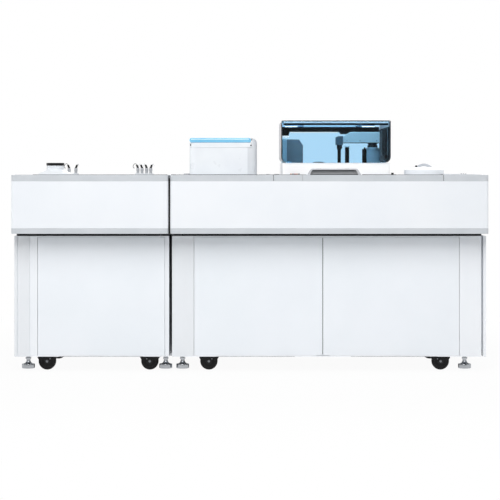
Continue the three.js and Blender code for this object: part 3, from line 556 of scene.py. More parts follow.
# Metals: bright edges, from dull zinc through ground steel to near-mirror chrome
zinc = brushed("zinc_plated_steel_bolt", "#8f9296", "#7f8286", (1, 1, 1), (0.3, 0.42))
steel = brushed("ground_stainless_steel", "#d3d6da", "#c4c8cc", (1, 1, 0.1), (0.2, 0.3))
chrome = brushed("chromed_steel_foot", "#b3b6ba", "#a6a9ad", (1, 1, 1), (0.05, 0.12))

# The solids that show. All the others are replaced by pieces below.
for name, finish in (
    ("left_cabinet", white_coat), ("right_cabinet", white_coat),
    ("left_rear_cover", cover_grey), ("right_rear_cover", cover_grey),
    ("module_gasket", closed_foam),
):
    dress(cad[name], finish)


# Floor, backdrop, lights and camera

FLOOR_HALF = 40
STUDIO_LEVEL = 0.4
bpy.ops.object.select_all(action="DESELECT")
bpy.ops.mesh.primitive_plane_add(size=2 * FLOOR_HALF, location=(0, 0, 0))
floor = bpy.context.object
floor.name = "studio_floor"
# A matt floor: it shows the machine's shadow and nothing of its mirror image.
floor_paint, ground, floor_surface, floor_place = shader(
    "matt_studio_floor_white", Roughness=1.0, Specular_IOR_Level=0.0,
)
mottle(ground, floor_surface, floor_place, "#dadada", "#d7d7d7", 900)
# Far from the machine the floor shows as white as the studio, and near it keeps its shadow.
far = add_node(ground, "ShaderNodeVectorMath", {0: floor_place}, operation="LENGTH")
far = spread(ground, far.outputs["Value"], 1.3, 3.2, course="SMOOTHSTEP")
share = maths(
    ground, "MULTIPLY", spread(ground, far, 0.0, 1.0, 0.95), seen_directly(ground)[1],
)
glow = add_node(ground, "ShaderNodeEmission", {"Color": (1, 1, 1, 1), "Strength": 1.0})
blend = add_node(
    ground, "ShaderNodeMixShader",
    {0: share, 1: floor_surface.outputs["BSDF"], 2: glow.outputs["Emission"]},
)
ground.links.new(blend.outputs["Shader"], ground.nodes["Material Output"].inputs["Surface"])
dress(floor, floor_paint)

world = bpy.data.worlds.new("white_studio")
bpy.context.scene.world = world
world.use_nodes = True
sky = world.node_tree
path, shown = seen_directly(sky)
level = spread(sky, shown, 0.0, 1.0, STUDIO_LEVEL)
# Two dark flags stand left and right of the set, and the camera's side of the room is dim
# too. Only reflections show them.
direction = add_node(sky, "ShaderNodeTexCoord").outputs["Generated"]
split = add_node(sky, "ShaderNodeSeparateXYZ", {"Vector": direction}).outputs
sideways = maths(sky, "ABSOLUTE", split["X"])
flags = maths(
    sky, "MAXIMUM", spread(sky, sideways, 0.72, 0.88, 0.0, 0.8, "SMOOTHSTEP"),
    spread(sky, split["Y"], -0.85, -0.55, 0.75, 0.0, "SMOOTHSTEP"),
)
mirrored_flags = maths(sky, "MULTIPLY", flags, path["Is Glossy Ray"])
studio = maths(sky, "MULTIPLY", level, maths(sky, "SUBTRACT", 1.0, mirrored_flags))
sky.links.new(studio, sky.nodes["Background"].inputs["Strength"])
sky.nodes["Background"].inputs["Color"].default_value = (1, 1, 1, 1)


def soft_lamp(name, place, target_z, size, watts):
    """A soft box at a place in metres, turned to a height over the middle of the floor."""
    bpy.ops.object.light_add(type="AREA", location=place)
    lamp = bpy.context.object
    lamp.name = name
    lamp.data.shape = "RECTANGLE"
    lamp.data.size, lamp.data.size_y = size
    lamp.data.energy = watts
    run = Vector((0, 0, target_z)) - Vector(place)
    lamp.rotation_euler = run.to_track_quat("-Z", "Y").to_euler()


soft_lamp("key_soft_box", (-0.7, -4.9, 5.0), 0.6, (3.6, 4.8), 297)
soft_lamp("top_soft_box", (0.6, -0.6, 5.2), 0.6, (4.5, 3.0), 16)
soft_lamp("back_soft_box", (1.4, 5.6, 4.2), 0.5, (3.6, 2.4), 120)
soft_lamp("left_side_box", (-5.6, 0.3, 2.4), 0.6, (3.0, 2.4), 60)
soft_lamp("right_side_box", (5.6, 0.3, 2.4), 0.6, (3.0, 2.4), 60)

# The camera looks along Y with its lens shifted, as the photo was taken: its picture has
# MM_PER_PIXEL at the machine's front, and its horizon on the row HORIZON.
CAMERA_DISTANCE = 8.8
CAMERA_HEIGHT = 0.912
PHOTO_SIZE = 500
HORIZON = 171
MM_PER_PIXEL = 4.5
SENSOR = 36
FRONT = -0.415
bpy.ops.object.camera_add(
    location=(0.0007, FRONT - CAMERA_DISTANCE, CAMERA_HEIGHT), rotation=(math.pi / 2, 0, 0),
)
camera = bpy.context.object
camera.name = "photo_camera"
camera.data.sensor_width = SENSOR
camera.data.lens = SENSOR * CAMERA_DISTANCE / (PHOTO_SIZE * MM_PER_PIXEL * MM)
camera.data.shift_y = (HORIZON - PHOTO_SIZE / 2) / PHOTO_SIZE
camera.data.clip_end = 200
bpy.context.scene.camera = camera
bpy.context.scene.view_settings.view_transform = "Standard"


# Places from the frame, in mm

DECK_LOW, DECK_TOP = 866, 894
DOME = (-900, -165)
LID = (801, -215)
COLUMN = (572, -90)
PROBE = (416.7, -90)
WASH_Y = -60
WHEEL_Z = 40
REAR_Y = 412
SEAM_XS = (106, 236.5, 871.4)
# The hinge lines of the hood, by Y and Z, and of the hopper, by X and Z
HOOD_HINGE = (333, 1133)
HINGE_X, HINGE_Z = 9.3, 1057

# Doors, folded steel pans with a stiffener, a catch plate and rubber buffers
for door, x0, x1, hinge_side in (
    ("left_door", -965.5, -387.5, -1), ("right_inner_door", -253.5, 330.5, -1),
    ("right_outer_door", 333.5, 953, 1),
):
    z0, z1, front, back = 72.5, 610.5, -315, -293
    middle, free_x = (x0 + x1) / 2, (x1 if hinge_side < 0 else x0) + 30 * hinge_side
    pan = block(door + "_panel", (x0, front, z0), (x1, back, z1))
    panel(pan, facing(1), (16, 0), (0.4, 18))
    bevel(pan, 0.8, 3, where(y_max=front + 0.1))
    fit(smooth(pan), door, white_lacquer, "white_door", door)
    rib = block(
        door + "_stiffener", (middle - 22, back - 18.5, z0 + 18), (middle + 22, back - 4, z1 - 18),
    )
    taper(rib, facing(1), (0.62, 1, 1), (middle, back, (z0 + z1) / 2))
    fit(soften(rib, 1.5), door, cover_grey, "white_door")
    catch = block(
        door + "_catch_plate", (free_x - 9, back - 19, 318), (free_x + 9, back - 1, 358),
    )
    panel(bevel(catch, 4, 3, along(1)), facing(1), (3, 1.2))
    fit(soften(catch, 0.5), door, steel, "pin_steel")
    x = free_x - 22 * hinge_side
    for i, z in enumerate((z0 + 9, z1 - 9)):
        buffer = rod(f"{door}_buffer_{i}", 4, (x, back - 0.4, z), (x, back + 0.9, z), 20)
        fit(soften(buffer, 0.4), door, tread_rubber, "black_rubber")

# Sills under the doors, flush with them, each with a grey stretch in its middle
# The sills' lighter white is a painted highlight.
for side, x0, x1 in (("left", -965, -388), ("right_inner", -253, 302), ("right_outer", 362, 952)):
    add_block(
        side + "_sill", (x0, -314.6, 67.3), (x1, -291.9, 72.2), None, 0.4,
        "frame", frame_highlight_white, "white_panel",
    )
    add_block(
        side + "_sill_trim", (x0 + 98, -315, 66.8), (x1 - 98, -311, 68.7), (0.4, 2, along(0)), 0,
        "frame", seal_grey, "white_panel",
    )
# The front faces of the corner posts are in the darker white, painted shade.
part_dress(cad["left_cabinet"], post_shade_white, where(x_max=-1009, y_max=-290))
part_dress(cad["right_cabinet"], post_shade_white, where(x_max=-254, y_max=-290))
# The frame facing beside the left door is in the lighter white, a painted highlight on the recessed
# strip.
add_block(
    "left_frame_facing", (-1009.5, -292.6, 73), (-966, -291.6, 610), None, 0.3,
    "frame", frame_highlight_white, "white_panel",
)
add_block(
    "door_meeting_seal", (324, -292.7, 76), (340, -291.6, 607), None, 0.3,
    "frame", tread_rubber, "black_rubber",
)


# Upper housings: trim band, white shell and deck for each module


def module_block(name, x0, x1, z0, z1):
    """A block as wide and deep as a module, with round upright corners."""
    return bevel(block(name, (x0, -415, z0), (x1, 415, z1)), 13, 8, along(2))


modules = {"left": (-1075, -367), "right": (-359, 1075)}
for side, (x0, x1) in modules.items():
    trim = module_block(side + "_lower_band", x0, x1, 629, 654)
    fit(soften(trim, 1.6, 3), "frame", grey_abs, "band_grey", side + "_trim")
    shell = module_block(side + "_shell", x0, x1, 654, DECK_LOW)
    room = block("room", (x0 + 4, -411, 650), (x1 - 4, 411, 870))
    subtract(shell, bevel(room, 9, 8, along(2)))
    fit(soften(shell, 1.1), "frame", shell_white, "white_panel", side + "_housing")
deck_cuts = {
    "left": [rod("cutter", 70.2, (*DOME, 840), (*DOME, 900), 64)] + [
        rod("cutter", 5.6, (x, WASH_Y, 870), (x, WASH_Y, 900), 24)
        for x in (-846, -814, -524, -464)
    ],
    "right": [rod("cutter", 88.2, (*LID, 840), (*LID, 900), 64)] + [
        block("cutter", (x, -420, 860), (x + 2, -411.5, 900)) for x in SEAM_XS
    ],
}
for side, cuts in deck_cuts.items():
    plate = module_block(side + "_deck_plate", *modules[side], DECK_LOW, DECK_TOP)
    subtract(plate, *cuts)
    fit(soften(plate, 1.4, 3), "frame", grey_abs, "band_grey", side + "_deck")

# Smooth cups under the deck, each with a spindle
for name, place, r, z in (("reaction_well", DOME, 66, 839), ("carousel_well", LID, 84, 778)):
    cup = turned(name, [
        (r + 4, z - 4), (r + 4, 865.7), (r + 4, 892.5), (r, 892.5), (r, z),
        (16, z), (16, z + 10), (8, z + 10), (8, z + 26), (4, z + 26),
    ], place)
    fit(soften(cup, 0.8), "frame", pale_abs, "pale_grey")

# Seams that run back over the right deck, filled with strips that paint their shade, and a seal
# bead along the front of each deck
for i, x in enumerate(SEAM_XS):
    seam = fuse(f"deck_seam_{i}", [
        block("seam", (x - 0.3, -411, 893.2), (x + 2.3, 411, 894.25)),
        block("seam_front", (x + 0.1, -414.2, 867), (x + 1.9, -410.5, 893.6)),
    ])
    fit(soften(seam, 0.3), "frame", post_grey if i == 1 else seam_shade, "band_grey")
# The bead is darker under the hopper and at the right end of the hood: painted shade from what
# stands over it.
for i, (x0, x1, finish, top) in enumerate((
    (-1058, -976, post_grey, 895.4), (-976, -371, seal_grey, 896.6), (-355, -279, seal_grey, 896.4),
    (-277, 36, seam_shade, 896.7), (38, 256, seal_grey, 896.8), (506, 660, seam_shade, 896.9),
    (662, 870, seal_grey, 896.7),
)):
    add_block(
        f"deck_seal_{i}", (x0, -411.5, 894.1), (x1, -408, top), (0.7, 3, along(0, z_min=895)), 0,
        "frame", finish, "band_grey",
    )

# Strips of dark foam that close the gap over each lower cabinet, and paint the shade in that gap
for side, x0, x1 in (("left", -1064, -410), ("right", -312, 1056)):
    add_block(
        side + "_gap_foam", (x0, -293, 616.3), (x1, -275.3, 628.7), (3, 3, along(0)), 0,
        "frame", closed_foam, "foam_black",
    )


# Casters: a pressed fork with a tapered fender round a wide wheel. Each is modelled once for
# each hand, 1 or -1 for the way its swivel is offset, and copied to its places.


def wheel_pieces(x, y):
    """A moulded tread with round shoulders, and a nylon centre with a web."""
    tread = rod("tread", 40, (x, y - 13, WHEEL_Z), (x, y + 13, WHEEL_Z), 80)
    bevel(tread, 5.5, 5, lambda at, run: abs(run.y) < 0.5)
    centre = rod("centre", 28.6, (x, y - 11.4, WHEEL_Z), (x, y + 11.4, WHEEL_Z), 80)
    for side in (-1, 1):
        panel(tread, facing(1, side), (4.5, 0), (0.6, 2.2))
        panel(centre, facing(1, side), (3, 0), (1.4, 1.6), (9, 0), (1.2, -2.4))
    return dress(smooth(tread), tread_rubber), dress(soften(centre, 0.5), hub_nylon)


def caster_fork_pieces(x, y, toward):
    """A pressed steel fork with a flared fender, and its bright bolts."""
    fender = block("fender", (x - 45, y - 18.5, 46), (x + 45, y + 18.5, 57.5))
    taper(fender, facing(2, -1), (0.86, 0.94, 1), (x, y, 46))
    bevel(fender, 4, 4, lambda at, run: abs(run.z) > 0.5)
    parts = [fender, turned("head", [
        (20, 82), (24, 85), (26, 87.7), (27, 89), (27, 94.5), (26, 95.7), (8, 95.7),
    ], (x + 18 * toward, y), 48)]
    bolts = []
    for side in (-1, 1):
        inner, outer = sorted((y + side * 14.5, y + side * 18.5))
        cheek = block("cheek", (x - 13, inner, 31), (x + 13, outer, 86))
        taper(cheek, facing(2), (1.9, 1, 1), (x, y, 86))
        parts.append(bevel(cheek, 11, 6, along(1, z_max=32)))
        face = y + side * 18.5
        bolts += [
            rod(name, r, (at, face + side * start, z), (at, face + side * end, z), sides)
            for name, r, at, z, start, end, sides in (
                ("nut", 6.5, x, WHEEL_Z, -2, 3.2, 6), ("cap", 4.4, x, WHEEL_Z, 2, 4.6, 24),
                ("brake_pin", 2.8, x + 14 * toward, 51, -2, 2, 20),
            )
        ]
    parts.append(block("bridge", (x - 25, y - 18.5, 81.5), (x + 25, y + 18.5, 87)))
    fork = fuse("fork", parts)
    subtract(fork, rod("cutter", 42.3, (x, y - 14.4, WHEEL_Z), (x, y + 14.4, WHEEL_Z), 64))
    return dress(soften(fork, 0.6), fork_steel), dress(soften(fuse("bolts", bolts), 0.7), zinc)


casters = {
    "left_outer": (-930, 1), "left_inner": (-459, -1), "right_inner": (-188, 1),
    "right_outer": (874.5, -1),
}
first_xs = {1: -930, -1: -459}
first_y = -228
tread, centre = wheel_pieces(first_xs[1], first_y)
forks = {toward: caster_fork_pieces(x, first_y, toward) for toward, x in first_xs.items()}
for row, y in (("front", first_y), ("back", 300)):
    for place, (x, toward) in casters.items():
        key = f"{place}_{row}"
        fork, bolts = forks[toward]
        for piece, name, first_x, body, slot, *nodes in (
            (fork, "frame_", first_xs[toward], "caster_", "fork_black", "caster_fork_" + key),
            (bolts, "bolts_", first_xs[toward], "caster_", "pin_steel"),
            (tread, "tread_", first_xs[1], "wheel_", "wheel_rubber", "caster_wheel_" + key),
            (centre, "centre_", first_xs[1], "wheel_", "wheel_rubber"),
        ):
            copy = twin(piece, f"caster_{name}{key}", x - first_x, y - first_y)
            fit(copy, body + key, None, slot, *nodes)
for piece in (tread, centre, *forks[1], *forks[-1]):
    bpy.data.objects.remove(piece)

# Levelling feet: a chromed pad with a flared neck, a lock nut and a threaded stud
first = (-1012, -277)
thread = [(7.4, 61), (8.6, 62)]
for z in range(62, 86, 2):
    thread += [(9, z + 0.5), (8.1, z + 1.4), (9, z + 2.4)]
pad = turned("foot_pad", [
    (26, 11), (29, 12), (30, 14.5), (30, 28.5), (29, 31), (27, 32), (20, 32.8), (14, 36.5),
    (11, 41), (9.4, 45), (9, 48), (9, 60), (8, 60.5),
], first)
foot = dress(fuse("levelling_foot", [
    smooth(pad, 32), soften(rod("foot_nut", 14, (*first, 53), (*first, 62), 6), 1.1),
    smooth(turned("foot_stud", thread, first, 32), 20),
]), chrome)
for row, y in (("front", -277), ("back", 345)):
    for place, x in zip(casters, (-1012, -384, -307, 981)):
        key = f"{place}_{row}"
        copy = twin(foot, "chromed_foot_" + key, x - first[0], y - first[1])
        fit(copy, "foot_" + key, None, "foot_chrome", "levelling_foot_" + key)
bpy.data.objects.remove(foot)


# Instrument hood: a clear tinted shell over the arm, hinged on a fixed black beam

hood = block("hood_shell", (142, -375, 949.3), (637, 325, 1141))
bevel(hood, 27, 10, along(1, z_max=950))
bevel(hood, 6, 4, where(y_max=324, z_min=1140.9))
pick(hood, "FACE", lambda at, normal: normal.y > 0.99 or normal.z < -0.99)
bpy.ops.mesh.delete(type="FACE")
leave()
modify(hood, "SOLIDIFY", thickness=5 * MM, offset=-1, use_even_offset=True)
fit(soften(hood, 0.8), "hood", hood_acrylic, "hood_blue", "hood")
part_dress(hood, rim_abs, lambda at, normal: at.x < 150 or at.x > 629)
part_dress(hood, beam_black, where(x_min=629, y_max=-366))
# A white stiffener and a black strip under it, behind the top of the front pane, paint the light
# and dark reflection bands along the pane's bent top edge.
add_block(
    "hood_front_stiffener", (152, -362, 1128), (627, -355, 1134), (2.5, 4, along(0)), 0,
    "hood", white_abs, "hood_blue",
)
add_block(
    "hood_stiffener_shade", (152, -361, 1119.8), (627, -352, 1128.2), (1.2, 3, along(0)), 0,
    "hood", beam_black, "black_plastic",
)
leaves = []
for x0, x1 in ((172, 232), (547, 607)):
    leaf = block("leaf", (x0 + 2, 306, 1130.5), (x1 - 2, 333, 1135.8))
    leaves += [
        rod("knuckle", 6.6, (x0 + 0.4, *HOOD_HINGE), (x1 - 0.4, *HOOD_HINGE)),
        bevel(leaf, 4, 3, along(2, y_max=310)),
    ]
fit(soften(fuse("hood_hinge_leaves", leaves), 0.6), "hood", hood_acrylic, "white_plastic")

# Dark ribbed lining on the right wall of the hood, with a fixed tube loop
lining = block("hood_side_lining", (611, -358, 954.6), (631.8, 276, 1112))
bevel(lining, 20.6, 8, along(1, x_min=631, z_max=955))
room = block("room", (600, -370, 958.8), (627.6, 290, 1140))
subtract(lining, bevel(room, 16.4, 8, along(1, x_min=627, z_max=959)))
fit(soften(lining, 0.5), "hood", beam_black, "black_plastic")
rib = dress(soften(block("rib", (624.6, -345, 985), (627.2, -341, 1107)), 0.8), slate_abs)
for i, step in enumerate((0, 110, 250, 452)):
    fit(twin(rib, f"hood_lining_rib_{i}", 0, step), "hood", None, "arm_blue")
bpy.data.objects.remove(rib)
for i, y in enumerate((-210, -95)):
    loop = pipe(f"hood_tube_loop_{i}", [
        (625, y - 34, 1104), (623, y - 30, 1052), (622.6, y - 24, 1000), (622.6, y, 972 + 10 * i),
        (622.6, y + 24, 1000), (623, y + 30, 1052), (625, y + 34, 1104),
    ], 3, 16)
    fit(loop, "hood", black_abs, "black_plastic")

# Rear pane, black beam with its brackets, and the fixed hinge barrel
pane = bevel(
    block("rear_pane", (145, 329.5, 949.6), (634, 334.5, 1122)), 24, 8, along(1, z_max=950),
)
subtract(
    pane, block("slot", (196.5, 320, 1097.2), (430, 340, 1102.4)),
    block("slot", (153, 320, 1076), (192, 340, 1083.8)),
)
fit(soften(pane, 0.8), "frame", hood_acrylic, "wall_blue", "hood_rear_wall")
for i, (x0, x1, y) in enumerate((
    (152, 171, 310), (233.4, 545.6, 310), (152, 171, 316), (233.4, 545.6, 316),
)):
    add_block(
        f"pane_header_{i}", (x0, y, 1126.7), (x1, y + 4, 1134.8), None, 0.6,
        "frame", hood_acrylic, "wall_blue",
    )
add_block(
    "hood_side_header", (607.4, 286, 1127), (629.5, 290, 1134.8), None, 0.6,
    "hood", hood_acrylic, "hood_blue",
)
left_bracket = block("bracket", (152, 306, 1083.6), (194, 328.9, 1104))
mid_bracket = block("bracket", (432, 306, 1091), (498, 328.9, 1104))
beam = fuse("hood_back_beam", [
    bevel(block("beam", (150, 304, 1101.6), (629, 328.9, 1126.4)), 1.5, 3, along(0)),
    taper(left_bracket, facing(2, -1), (0.88, 1, 1), (152, 317, 1083.6)),
    taper(mid_bracket, facing(2, -1), (0.42, 1, 1), (450, 317, 1091)),
    bevel(block("clamp", (165, 334.9, 1102.4), (614, 342, 1125)), 2, 3, along(0)),
])
fit(soften(beam, 0.8), "frame", beam_black, "black_plastic")
barrel = []
for x0, x1 in ((233.4, 262), (517, 545.6)):
    barrel += [
        rod("barrel", 6.6, (x0, *HOOD_HINGE), (x1, *HOOD_HINGE)),
        block("saddle", (x0 + 1.6, 322, 1126), (x1 - 1.6, 338, 1129)),
    ]
fit(soften(fuse("hood_hinge_barrel", barrel), 0.6), "frame", white_abs, "white_plastic")
pins = fuse("hood_hinge_pins", [
    rod("pin", 2.8, (x0, *HOOD_HINGE), (x1, *HOOD_HINGE), 24)
    for x0, x1 in ((169.5, 264), (515, 609.5))
])
bevel(pins, 1, 3, lambda at, run: abs(run.x) < 0.5)
fit(smooth(pins), "frame", steel, "pin_steel")
screws = fuse("beam_screws", [
    rod("screw", 4.2, (x, 341, 1111), (x, 344.4, 1111), 24) for x in (175, 300, 480, 604)
])
panel(screws, facing(1), (1.6, 0), (0.3, 1.4))
fit(soften(screws, 0.4), "frame", steel, "pin_steel")


# White plinth under the hood, and the grip in front of it


def grip_form(name, low, high, top_share, radius):
    """A low hand-grip form, narrower at its top, with rounded shoulders."""
    middle = ((low[0] + high[0]) / 2, (low[1] + high[1]) / 2, high[2])
    piece = taper(block(name, low, high), facing(2), (top_share, 1, 1), middle)
    return bevel(piece, radius, 8, along(1, z_min=high[2] - 0.1))


plinth = block("hood_plinth_frame", (146, -371, 894.2), (633, 343, 948.9))
room = block("room", (158, -359, 890), (621, 325, 955))
subtract(
    bevel(plinth, 12, 8, along(2)), bevel(room, 5, 5, along(2)),
    grip_form("grip_place", (258.1, -380, 880), (504.9, -337, 922.4), 212 / 246, 9),
)
fit(soften(plinth, 1.6, 3), "frame", plinth_white, "white_plastic", "hood_plinth")
grip = subtract(
    grip_form("grip_rim", (258.5, -373, 894.3), (504.5, -337.5, 922), 212 / 246, 9),
    grip_form("grip_cavity", (271, -380, 890), (492, -343, 916.8), 200 / 221, 7),
)
fit(soften(grip, 0.7), "frame", rim_abs, "black_plastic", "front_grip")
liner = grip_form("grip_liner", (271.3, -361, 894.4), (491.7, -342, 916.6), 200 / 221, 7)
panel(liner, facing(1, -1), (2.5, 0), (3, 2))
fit(soften(liner, 0.5), "frame", grip_grey, "black_plastic")
# Dark strips at the top and bottom of the grip's recess paint the shade under its lips.
for i, (z, half) in enumerate(((912.6, 98), (894.5, 108))):
    add_block(
        f"grip_shade_strip_{i}", (381.5 - half, -369, z), (381.5 + half, -352, z + 3.4), None, 0.5,
        "frame", seam_shade, "black_plastic",
    )


# Pipetting arm, its column and probe, and what stands beside them under the hood

tube = rod("column_tube", 32.4, (*COLUMN, 901), (*COLUMN, 1009), 48)
panel(tube, lambda at, normal: abs(normal.z) < 0.1, (0.9, 1.6), apart=True)
column = fuse("column_tube", [
    tube,
    turned("foot", [(32.4, 894.3), (33, 895), (33, 899.5), (32, 901), (30.6, 903)], COLUMN),
    turned("head", [
        (30.6, 1007.5), (32.4, 1009), (33, 1010.5), (33, 1017), (31.6, 1018.4), (24, 1019),
        (24, 1022.7),
    ], COLUMN),
])
fit(smooth(column, 28), "frame", column_coat, "column_blue", "arm_column")
add_block(
    "column_side_guide", (603, -84, 894.3), (609, -66, 1012), (1.5, 3, along(2)), 0.4,
    "frame", column_coat, "column_blue",
)
rail = bevel(block("column_rail", (524.3, -105, 894.3), (544, -75, 1014)), 3, 3, along(2))
panel(rail, facing(1, -1), (4, 0), (0.4, 4))
fit(soften(rail, 0.5), "frame", beam_black, "black_plastic")
for i, (x, z) in enumerate(((536, 1014), (548, 1009))):
    add_turned(f"column_fitting_{i}", [
        (4.6, z), (5, z + 0.5), (5, z + 4), (3.2, z + 4.6), (3.2, z + 8 - 5 * i),
        (2, z + 8.4 - 5 * i),
    ], (x, -84 - 12 * i), 24, 30, "frame", black_abs, "black_plastic")

arm = stepped_top(block("arm_cover", (434, -122, 1044), (604, -58, 1093)), {468: 0, 434: 18})
bevel(arm, 5, 5, lambda at, run: at.z > 1070 and not 466 < at.x < 470)
panel(arm, facing(2, -1), (2.2, 0), (0.4, 1.2))
fit(soften(arm, 0.6), "arm", arm_abs, "arm_blue", "pipette_arm")
add_block(
    "arm_sole", (437, -119, 1041.2), (601, -61, 1046), (3, 3, along(2)), 0.5,
    "arm", black_abs, "black_plastic",
)
add_turned("arm_collar", [
    (22, 1023.3), (23.6, 1024.2), (24, 1026), (24, 1031), (20, 1032), (20, 1037), (23, 1038),
    (23, 1043),
], COLUMN, 64, 30, "arm", black_abs, "black_plastic")
for i, x in enumerate((452, 512, 590)):
    for side, y, out in (("front", -122, -1), ("back", -58, 1)):
        screw = rod(
            f"arm_screw_{side}_{i}", 2.6, (x, y - 1.2 * out, 1052), (x, y + 0.8 * out, 1052), 20,
        )
        fit(soften(screw, 0.4), "arm", steel, "pin_steel")

head = stepped_top(block("probe_head", (399.7, -112, 1033), (433.7, -68, 1074)), {412: 0, 399.7: 5})
bevel(head, 1.6, 3, along(2))
fit(soften(head, 0.6), "probe", probe_slate, "black_plastic", "pipette_probe")
probe = fuse("probe_body", [
    bevel(block("step", (406, -106, 1016), (430, -74, 1034)), 2, 3, along(2)),
    turned("leg", [
        (2.2, 935.5), (7, 936.4), (8, 938), (8, 1010), (9.6, 1011), (9.6, 1018),
    ], PROBE, 40),
])
fit(soften(probe, 0.6), "probe", beam_black, "black_plastic")
add_turned("probe_needle", [
    (0.7, 927), (1.5, 929), (2, 932), (2, 935.8), (1.4, 936),
], PROBE, 24, 40, "probe", steel, "pin_steel")

mast = bevel(block("mast", (458, 170, 903), (477, 210, 1030)), 3, 3, along(2))
panel(mast, lambda at, normal: abs(normal.y) > 0.99, (3, 0), (0.4, 2.5), apart=True)
mast_foot = block("mast_foot", (444.5, 157, 894.3), (490.5, 223, 904.3))
mast = fuse("tube_mast_post", [mast, bevel(mast_foot, 5, 4, along(2))])
fit(soften(mast, 0.7), "frame", beam_black, "black_plastic", "tube_mast")
mast_cap = block("tube_mast_cap", (455.5, 168.6, 1025.5), (479.5, 211.4, 1031))
fit(soften(mast_cap, 1.2, 3), "frame", arm_abs, "arm_blue")

reader = block("reader_cover", (172, -165, 894.3), (246, 165, 1058))
plane_cut(reader, (228, 0, 1058), (28, 0, 18))
fit(soften(reader, 1.8, 3), "frame", slate_abs, "slate", "reader_housing")
reader_side = block("side", (150, -160, 951.5), (171.7, 160, 1060.4))
reader_side = fuse("reader_side_cover", [
    bevel(reader_side, 3, 3, where(z_min=1056)),
    block("leg", (159.5, -150, 894.3), (171.7, 150, 953)),
])
fit(soften(reader_side, 0.8), "frame", sky_abs, "slate")
reader_foot = block("reader_foot", (173, -170, 949.5), (193, -165.2, 958.5))
taper(reader_foot, facing(0), (1, 1, 0.45), (193, -168, 949.5))
fit(soften(reader_foot, 0.8), "frame", ice_blue, "slate")
add_turned("reader_port", [
    (20, 1058.2), (20.6, 1058.8), (20.6, 1060.6), (18.5, 1061.4), (16, 1061.4), (15.4, 1060.2),
    (4, 1060.2),
], (196, 40), 40, 30, "frame", black_abs, "black_plastic")
add_turned("mixer_knob", [
    (26, 894.3), (27, 895.2), (27, 902), (12, 904), (12, 938), (26, 943), (27, 945), (27, 950),
    (24, 953.4), (12, 955.2), (5, 955.6),
], (322, -60), 48, 32, "frame", black_abs, "black_plastic")


# Consumables hopper with its hinged lid

# Right of this split the tub is dressed darker, painted shade on its rounded right end.
TUB_SHADE_SPLIT = -10.6
tub = bevel(block("hopper_shell", (-273.5, -355, 894.2), (32, -55, 1062)), 26, 10, along(2))
shoulder = block("shoulder", (-300, -380, 880), (32.2, -30, 1060.5))
bevel(shoulder, 24, 10, along(1, x_min=30, z_min=1060))
subtract(tub, shoulder, operation="INTERSECT")
room = block("room", (-269.5, -351, 899), (5.3, -59, 1030))
subtract(
    tub, block("lid_space", (-290, -370, 1017.5), (HINGE_X, -40, 1080)),
    bevel(room, 22, 10, along(2, x_max=-260)),
    block("side_seam", (-11.4, -360, 890), (-9.8, -354.2, 1020)),
    block("base_gap", (-280, -360, 890), (40, -353.4, 896.6)),
    rod("hinge_groove", 6.2, (HINGE_X, -326, HINGE_Z), (HINGE_X, -84, HINGE_Z)),
)
bisect(soften(tub, 1.1, 3), (TUB_SHADE_SPLIT, 0, 0), (1, 0, 0))
fit(tub, "frame", tub_white, "white_plastic", "hopper_tub")
# Painted shade: past the split, the tub's right end is dressed a darker grey.
part_dress(tub, tub_shade, where(x_min=TUB_SHADE_SPLIT))
# A dark strip in the gap under the tub paints the shade beneath its lower edge.
add_block(
    "hopper_base_seal", (-255, -354.6, 894.3), (14, -351.4, 896.5), None, 0.4,
    "frame", seam_shade, "black_plastic",
)
barrel = fuse("hopper_hinge_barrel", [
    rod("barrel", 4.8, (HINGE_X, -283.6, HINGE_Z), (HINGE_X, -126.4, HINGE_Z), 28),
    block("web", (HINGE_X, -283.6, 1052.6), (18, -126.4, 1057.5)),
])
fit(soften(barrel, 0.5), "frame", white_abs, "white_plastic")

band = block("lid_band", (-273.5, -355, 1017.8), (8.3, -55, 1040.5))
bevel(band, 26, 10, along(2, x_max=-270))
bevel(band, 3, 4, along(2, x_min=8))
bevel(band, 2, 3, lambda at, run: at.z < 1018 and abs(run.z) < 0.1)
room = block("room", (-264.5, -346, 1010), (-0.7, -64, 1050))
notch = block("notch", (-280, -360, 1025), (-266.5, -80, 1034.6))
subtract(band, bevel(room, 17, 8, along(2, x_max=-260)), bevel(notch, 3, 4, where(x_min=-267)))
fit(soften(band, 0.9), "hopper_lid", tub_white, "white_plastic", "hopper_lid_frame")
add_block(
    "lid_notch_shade", (-271, -346, 1025.4), (-265.4, -81, 1034.2), None, 0.5,
    "hopper_lid", seam_shade, "black_plastic",
)
window = block("lid_window_tray", (-273.3, -354.8, 1040.7), (5, -55.2, 1062))
bevel(window, 9.8, 8, along(1))
bevel(window, 3.5, 4, along(0))
subtract(
    window, bevel(block("room", (-260, -341, 1030), (-14, -69, 1053)), 6, 5, along(2)),
    block("hinge_space", (-5.2, -327, 1030), (20, -83, 1070)),
)
fit(soften(window, 0.6), "hopper_lid", blue_lid, "lid_blue", "hopper_lid_window")
